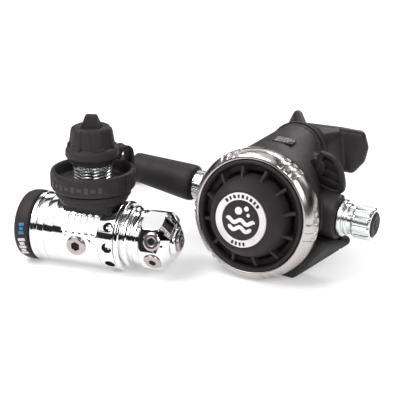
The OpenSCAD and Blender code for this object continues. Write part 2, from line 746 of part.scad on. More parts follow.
// Silicone mouthpiece: a socket, a tube, a curved lip flange and two bite tabs
module mouthpiece() {
  color("#242122") on_second() difference() {
    union() {
      translate([0, neck_y, neck_z]) bar_y(17.4, 0.3, 12);
      hull() {
        translate([0, neck_y, neck_z]) bar_y(16.4, 11.5, 12.5);
        lip([[-12, 77, 38], [16, 77, 39], [18, 77, 21], [-12, 77, 21]], 3.5);
      }
      hull()
        lip([[-8, 78, 38], [16, 78, 39.6], [27, 84, 38.6], [28.4, 85, 31], [27, 85, 24.5], [23, 83, 19.4],
             [-6, 78, 20]], 4);
      hull()
        lip([[4, 78, 38], [4, 78, 20], [-10, 80, 20], [-20, 88, 24], [-21, 90, 33.5]], 4);
      hull()
        lip([[-8, 79, 37], [-16.8, 88, 43.6], [-21, 90, 34], [-14, 82, 30]], 3.3);
      for (s = [-1, 1])
        hull() {
          translate([bite_x + s * 18, 80, bite_z]) cube([5, 1, 12], center = true);
          translate([bite_x + s * 20, 103, bite_z]) cube([6, 1, 13], center = true);
        }
    }
    translate([0, neck_y, neck_z]) bar_y(15.05, -1, 14.2);
    hull() {
      translate([0, neck_y, neck_z]) bar_y(11, 13, 14.1);
      translate([bite_x, 92, bite_z]) cube([26, 1, 11], center = true);
    }
    translate([bite_x, 108, 30]) cylinder(r = 25, h = 60, center = true, $fn = 96);
  }
}

// Balls of radius r at the given places, to be hulled
module lip(places, r) {
  for (p = places) translate(p) sphere(r = r, $fn = 24);
}

module mouth_clamp() {
  color("#1d1b1c") on_second() translate([0, 0, neck_z]) difference() {
    union() {
      bar_y(18.1, neck_y + 3, neck_y + 6.4);
      translate([-3, neck_y + 3, -20.4]) cube([6, 3.4, 2.6]);
    }
    bar_y(17.45, neck_y, neck_y + 10);
  }
}

module label_plate() {
  color("dimgray") on_second() translate([0, label_y, label_z]) rotate([label_turn, 0, 0])
    translate([0, 0, -0.55]) linear_extrude(0.8) offset(1, $fn = 24) square([11, 5.8], center = true);
}

main_body();
flange_ring();
end_cap();
cap_disc();
spanner_ring();
ridge_ring();
main_spring();
main_diaphragm();
push_pin();
seat_orifice();
inlet_poppet();
poppet_spring();
port_plug_front();
port_plug_rear();
saddle();
strap();
inlet_tube();
inlet_filter();
din_oring();
din_stud();
handwheel();
dust_cap();
turret();
turret_bolt();
lp_plug(turret_turn);  // lp_plug_1
lp_plug(turret_turn - 45);  // lp_plug_2
lp_plug(turret_turn + 180);  // lp_plug_3
lp_plug(turret_turn + 135);  // lp_plug_4
axial_plug();
hose_fitting();
hose();
hose_stem();
hose_sleeve();
swivel_nut();
case();
front_ring();
front_cover();
purge_button();
badge();
purge_spring();
diaphragm();
demand_lever();
valve_barrel();
orifice_tube();
demand_poppet();
demand_spring();
adjusting_screw();
gland_ring();
knob();
knob_insert();
venturi_lever();
venturi_vane();
exhaust_valve();
exhaust_tee();
mouthpiece();
mouth_clamp();
label_plate();
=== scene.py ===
import bpy, bmesh, json
from math import pi, sin, cos, tan, radians, degrees, sqrt, atan2
from mathutils import Matrix, Vector, noise


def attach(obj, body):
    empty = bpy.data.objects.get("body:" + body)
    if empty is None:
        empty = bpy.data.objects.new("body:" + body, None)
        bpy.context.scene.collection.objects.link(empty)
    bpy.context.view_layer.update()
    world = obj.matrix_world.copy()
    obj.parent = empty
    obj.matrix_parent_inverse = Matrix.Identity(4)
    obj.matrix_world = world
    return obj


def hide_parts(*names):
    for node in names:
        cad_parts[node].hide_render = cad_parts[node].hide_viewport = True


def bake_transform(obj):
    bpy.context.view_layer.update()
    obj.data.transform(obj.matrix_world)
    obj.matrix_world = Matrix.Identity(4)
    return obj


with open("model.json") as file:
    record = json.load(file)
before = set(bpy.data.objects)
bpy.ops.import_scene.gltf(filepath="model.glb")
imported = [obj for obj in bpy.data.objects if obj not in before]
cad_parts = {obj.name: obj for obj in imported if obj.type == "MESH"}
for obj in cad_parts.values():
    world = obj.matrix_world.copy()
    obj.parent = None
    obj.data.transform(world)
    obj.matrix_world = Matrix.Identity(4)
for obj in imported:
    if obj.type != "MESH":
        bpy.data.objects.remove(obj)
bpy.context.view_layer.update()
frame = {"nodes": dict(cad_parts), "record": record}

MM = Matrix.Scale(0.001, 4)


def turn(angle, axis):
    return Matrix.Rotation(radians(angle), 4, axis)


def shift(x, y, z):
    return Matrix.Translation((x, y, z))


# The same frames as in the CAD, in millimetres
FIRST = shift(-58.8, -45.2, 20.9)
SECOND = shift(35.3, -32.2, 38.7) @ turn(-8.4, "Z") @ turn(-6.2, "X") @ turn(3, "Y")
BARREL_IN = shift(0, 26, 2.6)
BARREL = SECOND @ BARREL_IN
LEVER_AT, LEVER_DIP = (0, 37, 31.5), 12
LEVER = SECOND @ shift(*LEVER_AT) @ turn(LEVER_DIP, "Y")
LEVER_IN = shift(*LEVER_AT) @ turn(LEVER_DIP, "Y")

# Stations along the first stage's axis
HOSE_PORT, FRONT_PORT, BACK_PORT = -16, -2.3, 4
CAP_RIGHT, CAP_LENGTH = -33.8, 11.4
SPANNER_HOLES, TURRET_PORTS = 16.4, 43
PLUG_BORE = 4.45

# Second stage
RING_R, CASE_R = 36.4, 34
NECK_R, NECK_Z = 17, 28.6
MOUTH_FLANGE = shift(0, 49, NECK_Z)


def across(x, angle, base=Matrix()):
    """A port at x along the first stage, turned by angle round its axis. Z points outwards."""
    return base @ shift(x, 0, 0) @ turn(-angle, "X") @ turn(90, "X")


def port(x, angle):
    return across(x, angle, FIRST)


# ---------- camera ----------
camera = bpy.data.objects.new("camera", bpy.data.cameras.new("camera"))
camera.location = (0.2269, -0.648, 0.273)
camera.rotation_euler = (radians(70.7), 0, radians(20))
camera.data.lens = 108
camera.data.sensor_width = 36
camera.data.clip_start = 0.01
bpy.context.scene.collection.objects.link(camera)
bpy.context.scene.camera = camera


# ---------- materials ----------
def shader(name, color, metallic=0.0, roughness=0.5, specular=0.5):
    m = bpy.data.materials.new(name)
    m.use_nodes = True
    b = m.node_tree.nodes["Principled BSDF"]
    b.inputs["Base Color"].default_value = (*color, 1)
    b.inputs["Metallic"].default_value = metallic
    b.inputs["Roughness"].default_value = roughness
    b.inputs["Specular IOR Level"].default_value = specular
    return m, b


def texture(m, scale, detail):
    """Noise fixed to the piece, in metres."""
    nodes = m.node_tree.nodes
    place = nodes.new("ShaderNodeTexCoord")
    tex = nodes.new("ShaderNodeTexNoise")
    tex.inputs["Scale"].default_value = scale
    tex.inputs["Detail"].default_value = detail
    m.node_tree.links.new(place.outputs["Object"], tex.inputs["Vector"])
    return tex


def bump(m, b, tex, distance, strength=1.0, before=None):
    node = m.node_tree.nodes.new("ShaderNodeBump")
    node.inputs["Distance"].default_value = distance
    node.inputs["Strength"].default_value = strength
    m.node_tree.links.new(tex.outputs["Fac"], node.inputs["Height"])
    if before:
        m.node_tree.links.new(before.outputs["Normal"], node.inputs["Normal"])
    m.node_tree.links.new(node.outputs["Normal"], b.inputs["Normal"])
    return node


def spread(m, tex, socket, low, high, at=(0.3, 0.7)):
    """The noise drives a value between low and high."""
    node = m.node_tree.nodes.new("ShaderNodeMapRange")
    node.inputs["From Min"].default_value, node.inputs["From Max"].default_value = at
    node.inputs["To Min"].default_value = low
    node.inputs["To Max"].default_value = high
    m.node_tree.links.new(tex.outputs["Fac"], node.inputs["Value"])
    m.node_tree.links.new(node.outputs["Result"], socket)


def tint(m, tex, socket, low, high, at=(0.35, 0.65)):
    """The noise drives a colour between low and high."""
    ramp = m.node_tree.nodes.new("ShaderNodeValToRGB")
    ramp.color_ramp.elements[0].position, ramp.color_ramp.elements[1].position = at
    ramp.color_ramp.elements[0].color = (*low, 1)
    ramp.color_ramp.elements[1].color = (*high, 1)
    m.node_tree.links.new(tex.outputs["Fac"], ramp.inputs["Fac"])
    m.node_tree.links.new(ramp.outputs["Color"], socket)


def moulded(name, color, roughness, grain=0.00003, grain_scale=2200):
    """Plastic or rubber with a cloudy tone and a fine grain."""
    m, b = shader(name, color, roughness=roughness, specular=0.28)
    tint(m, texture(m, 45, 3), b.inputs["Base Color"], [c * 0.82 for c in color], [c * 1.18 for c in color])
    spread(m, texture(m, 160, 5), b.inputs["Roughness"], roughness - 0.07, roughness + 0.08)
    fine = bump(m, b, texture(m, grain_scale, 2), grain)
    bump(m, b, texture(m, 260, 2), grain * 2, 0.6, fine)
    return m


def metal(name, color, roughness, wear):
    """Metal whose roughness varies by wear."""
    m, b = shader(name, color, metallic=1.0, roughness=roughness)
    spread(m, texture(m, 130, 6), b.inputs["Roughness"], max(0.02, roughness - wear), roughness + wear,
           (0.35, 0.75))
    tint(m, texture(m, 60, 3), b.inputs["Base Color"], [c * 0.96 for c in color],
         [min(1, c * 1.03) for c in color])
    return m


MATS = {
    "chrome": metal("chrome", (0.84, 0.84, 0.85), 0.05, 0.025),
    "nickel": metal("satin_nickel", (0.46, 0.4, 0.4), 0.24, 0.06),
    "ring": metal("satin_ring", (0.5, 0.465, 0.455), 0.24, 0.06),
    "bright": metal("bright_zinc", (0.68, 0.7, 0.7), 0.2, 0.06),
    "spring": metal("spring_steel", (0.5, 0.5, 0.5), 0.3, 0.08),
    "brass": metal("brass", (0.72, 0.52, 0.24), 0.28, 0.08),
    "plastic": moulded("black_plastic", (0.017, 0.0135, 0.0145), 0.5),
    "rubber": moulded("black_rubber", (0.021, 0.0155, 0.0175), 0.58, 0.00004, 1500),
    "hose": moulded("hose_rubber", (0.016, 0.013, 0.014), 0.5, 0.00006, 1200),
    "silicone": moulded("silicone", (0.02, 0.0145, 0.0165), 0.42, 0.00003, 500),
    "white": moulded("white_plastic", (0.8, 0.79, 0.76), 0.5),
    "print": moulded("white_print", (0.74, 0.68, 0.69), 0.4, 0.00001),
    "blue": moulded("blue_print", (0.04, 0.17, 0.34), 0.45, 0.00001),
    "grey": moulded("grey_print", (0.3, 0.28, 0.28), 0.5, 0.00001),
    "emblem": moulded("badge_dark", (0.02, 0.017, 0.018), 0.35, 0.00001, 900),
    "relief": moulded("relief", (0.05, 0.042, 0.045), 0.5),
    # Near-black painted shade, put into holes and sockets where shade falls
    "bore": moulded("shaded_bore", (0.006, 0.005, 0.005), 0.6),
}
SLOTS = {"chrome": "chrome", "spring_steel": "spring", "brass": "brass", "black_plastic": "plastic",
         "black_rubber": "rubber", "silicone": "silicone", "white_plastic": "white", "badge_face": "print",
         "label": "grey"}
for part in frame["record"]["subparts"]:
    node = frame["nodes"][part["node"]]
    for s in node.material_slots:
        s.material = MATS[SLOTS[part["material_slot"]]]
SLOT_OF = {"nickel": "chrome", "ring": "chrome", "bright": "chrome", "plastic": "black_plastic",
           "rubber": "black_rubber", "hose": "black_rubber", "print": "badge_face", "blue": "badge_face",
           "grey": "label", "emblem": "badge_face", "relief": "black_rubber", "bore": "black_plastic"}


# ---------- mesh tools, all in millimetres ----------
def rounded(outline, radius, closed=True, steps=3):
    """The outline with each corner turned into a short curve."""
    out = []
    n = len(outline)
    for i, p in enumerate(outline):
        r = p[2] if len(p) > 2 else radius
        p = Vector(p[:2])
        if not closed and i in (0, n - 1) or r == 0:
            out.append(tuple(p))
            continue
        a, c = Vector(outline[i - 1][:2]), Vector(outline[(i + 1) % n][:2])
        u, v = a - p, c - p
        if u.length < 1e-6 or v.length < 1e-6:
            out.append(tuple(p))
            continue
        half = u.angle(v) / 2
        if half > 1.5:
            out.append(tuple(p))
            continue
        t = min(r / max(tan(half), 0.05), 0.45 * u.length, 0.45 * v.length)
        s, e = p + u.normalized() * t, p + v.normalized() * t
        for k in range(steps + 1):
            f = k / steps
            q = s * (1 - f) ** 2 + p * 2 * f * (1 - f) + e * f * f
            out.append((q.x, q.y))
    return out


AXES = {"x": lambda r, t, a: (a, -r * cos(t), r * sin(t)),
        "y": lambda r, t, a: (r * cos(t), a, -r * sin(t)),
        "z": lambda r, t, a: (r * cos(t), r * sin(t), a)}


def mesh_from(verts, faces):
    bm = bmesh.new()
    vs = [bm.verts.new(v) for v in verts]
    for f in faces:
        if len(set(f)) > 2:
            try:
                bm.faces.new([vs[i] for i in f])
            except ValueError:
                pass
    bmesh.ops.remove_doubles(bm, verts=bm.verts, dist=1e-4)
    bmesh.ops.dissolve_degenerate(bm, dist=1e-5, edges=bm.edges)
    bmesh.ops.recalc_face_normals(bm, faces=bm.faces)
    me = bpy.data.meshes.new("mesh")
    bm.to_mesh(me)
    bm.free()
    return me


def lathe(outline, axis="x", angles=144, radius=0.3, closed=True, vary=None, steps=3):
    """A turned solid. outline is (radius, height) pairs; vary(angle in degrees, r, a) may move each point."""
    line = rounded(outline, radius, closed, steps)
    if isinstance(angles, int):
        angles = [360 * i / angles for i in range(angles)]
    m = len(line)
    verts, faces = [], []
    for t in angles:
        for r, a in line:
            if vary:
                r, a = vary(t, r, a)
            verts.append(AXES[axis](max(r, 0), radians(t), a))
    n = len(angles)
    span = m if closed else m - 1
    for i in range(n):
        for k in range(span):
            faces.append((i * m + k, i * m + (k + 1) % m, ((i + 1) % n) * m + (k + 1) % m,
                          ((i + 1) % n) * m + k))
    return mesh_from(verts, faces)


def steps_at(edges, count=144, eps=0.06):
    """Evenly spaced angles, with a close pair at each edge."""
    out = [360 * i / count for i in range(count)]
    out = [a for a in out if all(abs((a - e + 180) % 360 - 180) > 0.7 for e in edges)]
    for e in edges:
        out += [(e - eps) % 360, (e + eps) % 360]
    return sorted(out)


def extruded(outline, low, high, radius=0.0):
    line = rounded(outline, radius, True, 4) if radius else outline
    n = len(line)
    verts = [(x, y, low) for x, y in line] + [(x, y, high) for x, y in line]
    faces = [tuple(range(n)), tuple(range(n, 2 * n))] + [(i, (i + 1) % n, n + (i + 1) % n, n + i)
                                                         for i in range(n)]
    return mesh_from(verts, faces)


def box_mesh(x, y, z, at=(0, 0, 0)):
    h = [(sx * x / 2, sy * y / 2) for sx, sy in ((-1, -1), (1, -1), (1, 1), (-1, 1))]
    me = extruded(h, -z / 2, z / 2)
    me.transform(shift(*at))
    return me


def ball_hull(balls, detail=3):
    """Convex hull of balls given as (x, y, z, radius)."""
    bm = bmesh.new()
    for x, y, z, r in balls:
        bmesh.ops.create_icosphere(bm, subdivisions=detail, radius=r, matrix=shift(x, y, z))
    res = bmesh.ops.convex_hull(bm, input=bm.verts)
    dead = [g for g in res["geom_interior"] + res["geom_unused"] if isinstance(g, bmesh.types.BMVert)]
    bmesh.ops.delete(bm, geom=list(set(dead)), context="VERTS")
    bmesh.ops.recalc_face_normals(bm, faces=bm.faces)
    me = bpy.data.meshes.new("hull")
    bm.to_mesh(me)
    bm.free()
    return me


def rod(r, low, high, segs=96):
    """A plain cylinder along Z, used as a tool for cuts and joins."""
    return extruded([(r * cos(2 * pi * i / segs), r * sin(2 * pi * i / segs)) for i in range(segs)], low,
                    high)


def moved(me, matrix):
    me.transform(matrix)
    return me


def temp(me):
    ob = bpy.data.objects.new("tool", me)
    bpy.context.scene.collection.objects.link(ob)
    return ob


def baked(ob):
    bpy.context.view_layer.update()
    me = bpy.data.meshes.new_from_object(ob.evaluated_get(bpy.context.evaluated_depsgraph_get()))
    ob.modifiers.clear()
    return me


def joined(meshes):
    bm = bmesh.new()
    for me in meshes:
        bm.from_mesh(me)
    out = bpy.data.meshes.new("joined")
    bm.to_mesh(out)
    bm.free()
    return out


def boolean(me, others, operation):
    ob = temp(me)
    tools = []
    for o in others:
        tools.append(temp(o))
        mod = ob.modifiers.new("cut", "BOOLEAN")
        mod.operation = operation
        mod.solver = "EXACT"
        mod.object = tools[-1]
    out = baked(ob)
    for o in [ob] + tools:
        bpy.data.objects.remove(o)
    return out


def cut(me, *others):
    return boolean(me, others, "DIFFERENCE")


def fused(me, *others):
    return boolean(me, others, "UNION")


def bevelled(me, width=0.25, segments=2, angle=35):
    ob = temp(me)
    mod = ob.modifiers.new("bevel", "BEVEL")
    mod.width = width
    mod.segments = segments
    mod.limit_method = "ANGLE"
    mod.angle_limit = radians(angle)
    mod.use_clamp_overlap = True
    out = baked(ob)
    bpy.data.objects.remove(ob)
    return out


def remeshed(me, voxel, smooth=6, factor=0.5):
    """Fuses overlapping forms into one moulded skin with soft inner corners."""
    ob = temp(me)
    mod = ob.modifiers.new("remesh", "REMESH")
    mod.mode = "VOXEL"
    mod.voxel_size = voxel
    soft = ob.modifiers.new("smooth", "SMOOTH")
    soft.iterations = smooth
    soft.factor = factor
    out = baked(ob)
    bpy.data.objects.remove(ob)
    return out


def piece(name, me, matrix, body, mat, replaces=(), sharp=38, slot=None):
    """A finished piece: in metres, smooth shaded, with its material, on its body if one is named."""
    me.transform(MM @ matrix)
    me.name = name
    me.materials.clear()
    me.materials.append(MATS[mat])
    for p in me.polygons:
        p.material_index = 0
        p.use_smooth = True
    me.set_sharp_from_angle(angle=radians(sharp))
    ob = bpy.data.objects.new(name, me)
    bpy.context.scene.collection.objects.link(ob)
    if body:
        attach(ob, body)
    if replaces:
        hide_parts(*replaces)
    slot or SLOT_OF.get(mat, mat)
    return ob


# ---------- hose ----------
ROUTE = [
    (44, 47, 41), (24, 50, 43), (3.5, 53.5, 45), (-11, 56, 46), (-28, 60.5, 45.5), (-43.5, 70.5, 43),
    (-54, 87, 38.5), (-56.5, 106, 32), (-50, 124, 25), (-36, 137, 18), (-17, 143, 11.5), (2, 140.5, 7.5),
    (18, 131, 5.5), (27, 119, 5.2), (33, 103, 5.2), (43, 88.5, 5.2), (59, 79.5, 5.2), (77, 79, 5.2),
    (93, 87, 5.2), (104, 101, 5.2), (107.5, 118, 5.2), (103.5, 135.5, 5.2), (92, 149.5, 5.2),
    (76, 157, 5.2), (57, 159, 5.2), (37, 157.5, 5.2), (16, 156.5, 5.2), (-2, 157, 5.2), (-18, 157, 5.2),
    (-34, 153, 5.2), (-48.5, 142, 5.2), (-57, 126, 5.2), (-58, 107.5, 6), (-51, 91, 8.5),
    (-39, 79.5, 12), (-26, 70, 16), (-18.5, 57.5, 19.5), (-16, 43, 20.9)]
ROUTE = [(0.001 * (x - 58.8), 0.001 * (y - 45.2), 0.001 * z) for x, y, z in ROUTE]
ROUTE.reverse()


def smooth_line(points, per):
    """Catmull-Rom curve through the points."""
    pts = [Vector(p) for p in points]
    pts = [2 * pts[0] - pts[1]] + pts + [2 * pts[-1] - pts[-2]]
    out = []
    for i in range(1, len(pts) - 2):
        a, b, c, d = pts[i - 1:i + 3]
        for k in range(per):
            t = k / per
            out.append(0.5 * (2 * b + (c - a) * t + (2 * a - 5 * b + 4 * c - d) * t * t
                              + (3 * b - a - 3 * c + d) * t ** 3))
    out.append(pts[-2])
    return out


line = smooth_line(ROUTE, 6)
curve = bpy.data.curves.new("hose_tube", "CURVE")
curve.dimensions = "3D"
curve.bevel_depth = 0.005
curve.bevel_resolution = 8
curve.use_fill_caps = True
spline = curve.splines.new("POLY")
spline.points.add(len(line) - 1)
for target, p in zip(spline.points, line):
    target.co = (*p, 1)
spline.use_smooth = True
curve.materials.append(MATS["hose"])
hose = bpy.data.objects.new("hose_tube", curve)
bpy.context.scene.collection.objects.link(hose)
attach(hose, "set")
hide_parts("hose")

HEX = [(cos(pi * k / 3 + pi / 6), sin(pi * k / 3 + pi / 6)) for k in range(6)]


def hex_prism(flats, low, high):
    return extruded([(flats / 2 / cos(pi / 6) * x, flats / 2 / cos(pi / 6) * y) for x, y in HEX], low, high)


chamfer = moved(lathe([(7.2, 5), (12, 5), (12, 11), (9.4, 11), (7.6, 8.6)], "z", 96, 0), shift(0, 0, 16.4))
nut = bevelled(cut(hex_prism(14, 20.5, 27), chamfer), 0.3)
shank = lathe([(0, 14.2), (5, 14.2), (5, 20.8), (0, 20.8)], "z", 72, 0.2, False)
crimp = lathe([(5.1, 26.8), (6.3, 27), (6.9, 28.2), (6.9, 29.6), (6.3, 30.2), (6.3, 31), (6.9, 31.6),
               (6.9, 33.4), (6.3, 34), (6.3, 34.8), (6.9, 35.4), (6.9, 41.6), (6.2, 43), (5.05, 43)], "z",
              96, 0.3)
fitting = joined([nut, shank, crimp])
fitting = piece("hose_end_fitting", fitting, port(HOSE_PORT, 180), "set", "bright", ["hose_fitting"])
stem = joined([lathe([(0, -53), (3.8, -53), (3.8, -45.1), (0, -45.1)], "x", 64, 0.2, False),
               lathe([(0, -55), (5.6, -55), (6.2, -54.4), (6.2, -51.2), (5.6, -50.8), (0, -50.8)], "x", 96,
                     0.2, False)])
stem = piece("hose_stem_ferrule", stem, BARREL, "set", "bright", ["hose_stem"])
tail_r, end = 8.9, -44
sleeve = lathe([(6.6, -0.1), (9.2, -0.1, 0.4), (10.6, -0.9, 0.8), (11.1, -2.8, 1), (11.05, -6),
                (tail_r + 0.05, 2.6 + end), (tail_r - 0.2, 1 + end), (tail_r - 1.4, end, 0.9), (5.05, end),
                (5.05, end + 3), (6.2, end + 6), (6.2, -4)], "x", 144, 0.6)
sleeve = piece("hose_protector", sleeve, BARREL @ shift(-52, 0, 0) @ turn(3, "Y"), "set", "rubber",
               ["hose_sleeve"], 50)
LENGTH = sum((q - p).length for p, q in zip(line, line[1:]))
tuple(ROUTE[0])

# ---------- first stage ----------
left = CAP_RIGHT - CAP_LENGTH


def soft_cap(t, r, a):
    return r + (0.05 * noise.noise(Vector((cos(radians(t)), sin(radians(t)), a * 0.2))) if r > 19 else 0), a


piece("end_cap_rim", lathe([(12, left + 2.6), (15.6, left + 2.6), (15.9, left + 1.2), (17.6, left + 1, 0.5),
                            (19.5, left + 2.3, 1), (20.5, left + 4.6, 2), (20.9, left + 7, 2),
                            (20.9, CAP_RIGHT - 0.7, 0.5), (20.3, CAP_RIGHT - 0.05, 0.3),
                            (12, CAP_RIGHT - 0.05)], "x", 180, 0.3, vary=soft_cap), FIRST, "set", "rubber",
      ["end_cap"], 45)


def notched(t, r, a):
    near = abs((t + 22.5) % 45 - 22.5)
    return (min(r, 12.1) if near < 7.5 and r > 12 and a < left + 2.7 else r), a


edges = [(45 * k + s * 7.5) % 360 for k in range(8) for s in (-1, 1)]
disc = lathe([(0, left + 3.2, 0), (2.4, left + 3, 0.2), (3.2, left + 2.2), (3.3, left + 0.5), (3.9, left),
              (13.4, left, 0.5), (15.3, left + 1.2, 0.5), (15.4, left + 2.5), (11.9, left + 2.6),
              (11.9, CAP_RIGHT - 2), (0, CAP_RIGHT - 2)], "x", steps_at(edges, 120), 0.3, False, notched)
piece("end_cap_disc", bevelled(disc, 0.15), FIRST, "set", "plastic", ["cap_disc"])


def tick(angle, w, h):
    """A printed bar on the cap's side, in the place of its lettering."""
    me = bevelled(box_mesh(w, h, 0.26), 0.1)
    return moved(me, turn(-angle, "X") @ turn(90, "X") @ shift(-37.8, 0, 20.92) @ turn(8, "Z"))


piece("cap_ticks_white", joined([tick(a, w, 1.9) for a, w in ((-36, 4.6), (-29, 3.2), (-22, 4.6), (-15, 3.2),
      (-8, 4.6))]), FIRST, "set", "print")
piece("cap_ticks_blue", joined([tick(a, w, 1.9) for a, w in ((4, 3.4), (11, 2.4), (18, 3.4))]), FIRST, "set",
      "blue")

piece("flange_band", lathe([(14, CAP_RIGHT + 0.1), (19.2, CAP_RIGHT + 0.1, 0.2),
                            (20.3, CAP_RIGHT + 1.1, 0.6), (20.5, CAP_RIGHT + 1.5), (20.5, -30.8),
                            (20.2, -30.3), (19.5, -29.9), (19.2, -29.3), (19.3, -28.8), (20.1, -28.3),
                            (20.3, -27.9), (20.3, -24.25), (20.1, -24.02), (14, -24.02)], "x", 180, 0.3),
      FIRST, "set", "chrome", ["flange_ring"])

BODY = [(14, -23.98), (19.75, -23.98), (20, -23.7), (20, -18.2), (19.86, -18.05), (19.86, -17.85),
        (20, -17.7), (20, 8.2), (19.86, 8.35), (19.86, 8.6), (20, 8.75), (20, 10.3), (19.8, 10.56),
        (6.4, 10.56), (6.4, -10), (14, -10)]
body = lathe(BODY, "x", 180, 0.12, steps=2)
body = fused(body, moved(lathe([(0, 12), (9.2, 12), (9.2, 20.1, 0.4), (8.7, 20.66, 0.4), (0, 20.66)], "z",
                               96, 0.3, False), across(FRONT_PORT, -5)),
             moved(lathe([(0, 12), (7.5, 12), (7.5, 20.4), (0, 20.4)], "z", 96, 0.3, False),
                   across(HOSE_PORT, 180)), moved(lathe([(0, 12), (6.2, 12), (6.2, 20.2), (0, 20.2)], "z",
                                                        96, 0.3, False), across(BACK_PORT, 180)),
             rod(10.5, 10, 24))


def slab(w, d, low, high, r):
    return extruded([(-w / 2, -d / 2), (w / 2, -d / 2), (w / 2, d / 2), (-w / 2, d / 2)], low, high, r)


window = shift(-1.2, 0, 0) @ turn(-33, "X") @ turn(90, "X") @ shift(0, 0, 16.6)
tools = [moved(slab(22.5, 14.5, 1.2, 8, 2), window)]
tools += [moved(ball_hull([(0, -4.6, 1.0, 1.7), (0, 4.6, 1.0, 1.7)], 4), window @ shift(4.1 * i, 0, 0))
          for i in range(-2, 3)]
tools += [moved(rod(PLUG_BORE, 8, 28, 72), across(FRONT_PORT, -5)),
          moved(rod(PLUG_BORE, 8, 28, 72), across(BACK_PORT, 180)),
          moved(rod(5.05, 14.1, 28, 72), across(HOSE_PORT, 180)),
          rod(8.1, 18, 30)]
body = cut(body, *tools)
piece("body_shell", bevelled(body, 0.22, 2, 40), FIRST, "set", "chrome", ["main_body"], 30)

spanner = lathe([(12, 10.65), (19.75, 10.65), (20, 10.9), (20, 19.6), (19.75, 19.88), (12, 19.88)], "x", 180,
                0.12)
tools = [moved(lathe([(0, 16.9), (1.2, 16.9), (3.1, 17.9), (3.1, 24), (0, 24)], "z", 56, 0.2, False),
               across(SPANNER_HOLES, a - 4)) for a in range(0, 360, 36)]
piece("spanner_band", bevelled(cut(spanner, *tools), 0.2, 2, 40), FIRST, "set", "chrome", ["spanner_ring"],
      30)
# Near-black cones inside the spanner holes: painted shade in the holes
hole_shade_cones = [moved(lathe([(1.9, 17.33), (3.06, 17.93), (3.06, 19), (2.9, 19), (2.9, 18.05), (1.9, 17.48)], "z",
                      56, 0.1), across(SPANNER_HOLES, a - 4)) for a in range(0, 360, 36)]
piece("spanner_hole_painted_shade", joined(hole_shade_cones), FIRST, "set", "bore")

RIDGE_X = 20
ridges = lathe([(6.1, RIDGE_X), (19.4, RIDGE_X, 0.3), (20.5, RIDGE_X + 0.7, 0.6), (20.6, RIDGE_X + 1.8),
                (20.3, RIDGE_X + 2.8, 0.5), (19.4, RIDGE_X + 3.4), (16.6, RIDGE_X + 3.6),
                (16.3, RIDGE_X + 4.2), (16.6, RIDGE_X + 4.7), (17.8, RIDGE_X + 4.9, 0.3),
                (18.4, RIDGE_X + 5.5, 0.4), (18.4, RIDGE_X + 6.7, 0.4), (17.6, RIDGE_X + 7.4),
                (15.4, RIDGE_X + 7.8), (15.1, RIDGE_X + 8.6), (15.2, RIDGE_X + 10),
                (16.4, RIDGE_X + 10.6, 0.3), (16.5, RIDGE_X + 12.2, 0.3), (15.7, RIDGE_X + 12.8),
                (15.3, 33.7), (6.1, 33.7)], "x", 180, 0.35)
piece("ridge_band", ridges, FIRST, "set", "chrome", ["ridge_ring"])


def plug(name, node, matrix, seat, head, height, shank, depth, key, body):
    """Socket head port plug: crowned head, hexagon socket with a chamfer, thread below; a near-black prism in
    the socket is painted shade.
    """
    me = lathe([(0, seat + height - 0.15), (key * 0.62, seat + height - 0.15),
                (key * 0.72, seat + height, 0.2), (head - 1.1, seat + height, 0.4),
                (head - 0.25, seat + height - 0.55, 0.4), (head, seat + 0.35, 0.3), (head - 0.25, seat),
                (shank, seat), (shank, seat - depth), (0, seat - depth)], "z", 96, 0.25, False)
    me = cut(me, hex_prism(key, seat + height - 3, seat + height + 2))
    piece(name, bevelled(me, 0.12), matrix, body, "nickel", [node], 30)
    # A near-black prism in the hexagon socket: painted shade in the hole
    painted_shade_prism = hex_prism(key - 0.04, seat + height - 2.98, seat + height - 0.9)
    piece(name + "_socket_painted_shade", bevelled(painted_shade_prism, 0.05), matrix, body, "bore")


plug("high_pressure_plug_front", "port_plug_front", port(FRONT_PORT, -5), 20.75, 6, 1.6, 4.4, 8, 5, "set")
plug("high_pressure_plug_rear", "port_plug_rear", port(BACK_PORT, 180), 20.35, 6, 1.6, 4.4, 8, 5, "set")

# Turret: eight flats, a coned end and counterbored ports
flat = 16.5
octagon = [(flat / cos(pi / 8) * cos(pi * (2 * k + 1) / 8), flat / cos(pi / 8) * sin(pi * (2 * k + 1) / 8))
           for k in range(8)]
block = extruded(octagon, 34, 56)
block.transform(turn(-17, "X") @ turn(90, "Y"))
cone = lathe([(0, 34.05), (15.9, 34.05, 0.3), (17.2, 35.1, 0.5), (17.75, 36.6, 0.5), (17.75, 46.2, 0.5),
              (10.7, 51.5, 0.4), (8.7, 51.7), (8.2, 52.3), (8.1, 53.2), (6.8, 53.9), (0, 53.9)], "x", 144,
             0.3, False)
tur = boolean(block, [cone], "INTERSECT")
tools = [moved(lathe([(0, 10), (PLUG_BORE, 10), (PLUG_BORE, 15.9), (5.75, 16.3), (5.9, 20), (0, 20)], "z",
                     72, 0.1, False), across(TURRET_PORTS, 17 + q)) for q in (0, -45, 180, 135)]
tools += [moved(rod(PLUG_BORE, 47, 58, 72), turn(90, "Y")),
          moved(rod(0.65, 8, 22, 24), shift(48.2, 0, 0) @ turn(-8, "X") @ turn(90, "X"))]
piece("turret_block", bevelled(cut(tur, *tools), 0.25, 2, 14), FIRST, "turret", "chrome", ["turret"], 25)
for k, q in enumerate((0, -45, 180, 135)):
    plug("low_pressure_plug_%d" % (k + 1), "lp_plug_%d" % (k + 1), port(TURRET_PORTS, 17 + q), 16.52, 5.35,
         1.4, 4.4, 5, 4, "turret")
plug("low_pressure_plug_end", "axial_plug", FIRST @ turn(90, "Y"), 53.92, 5.35, 1.3, 4.4, 5, 4, "turret")

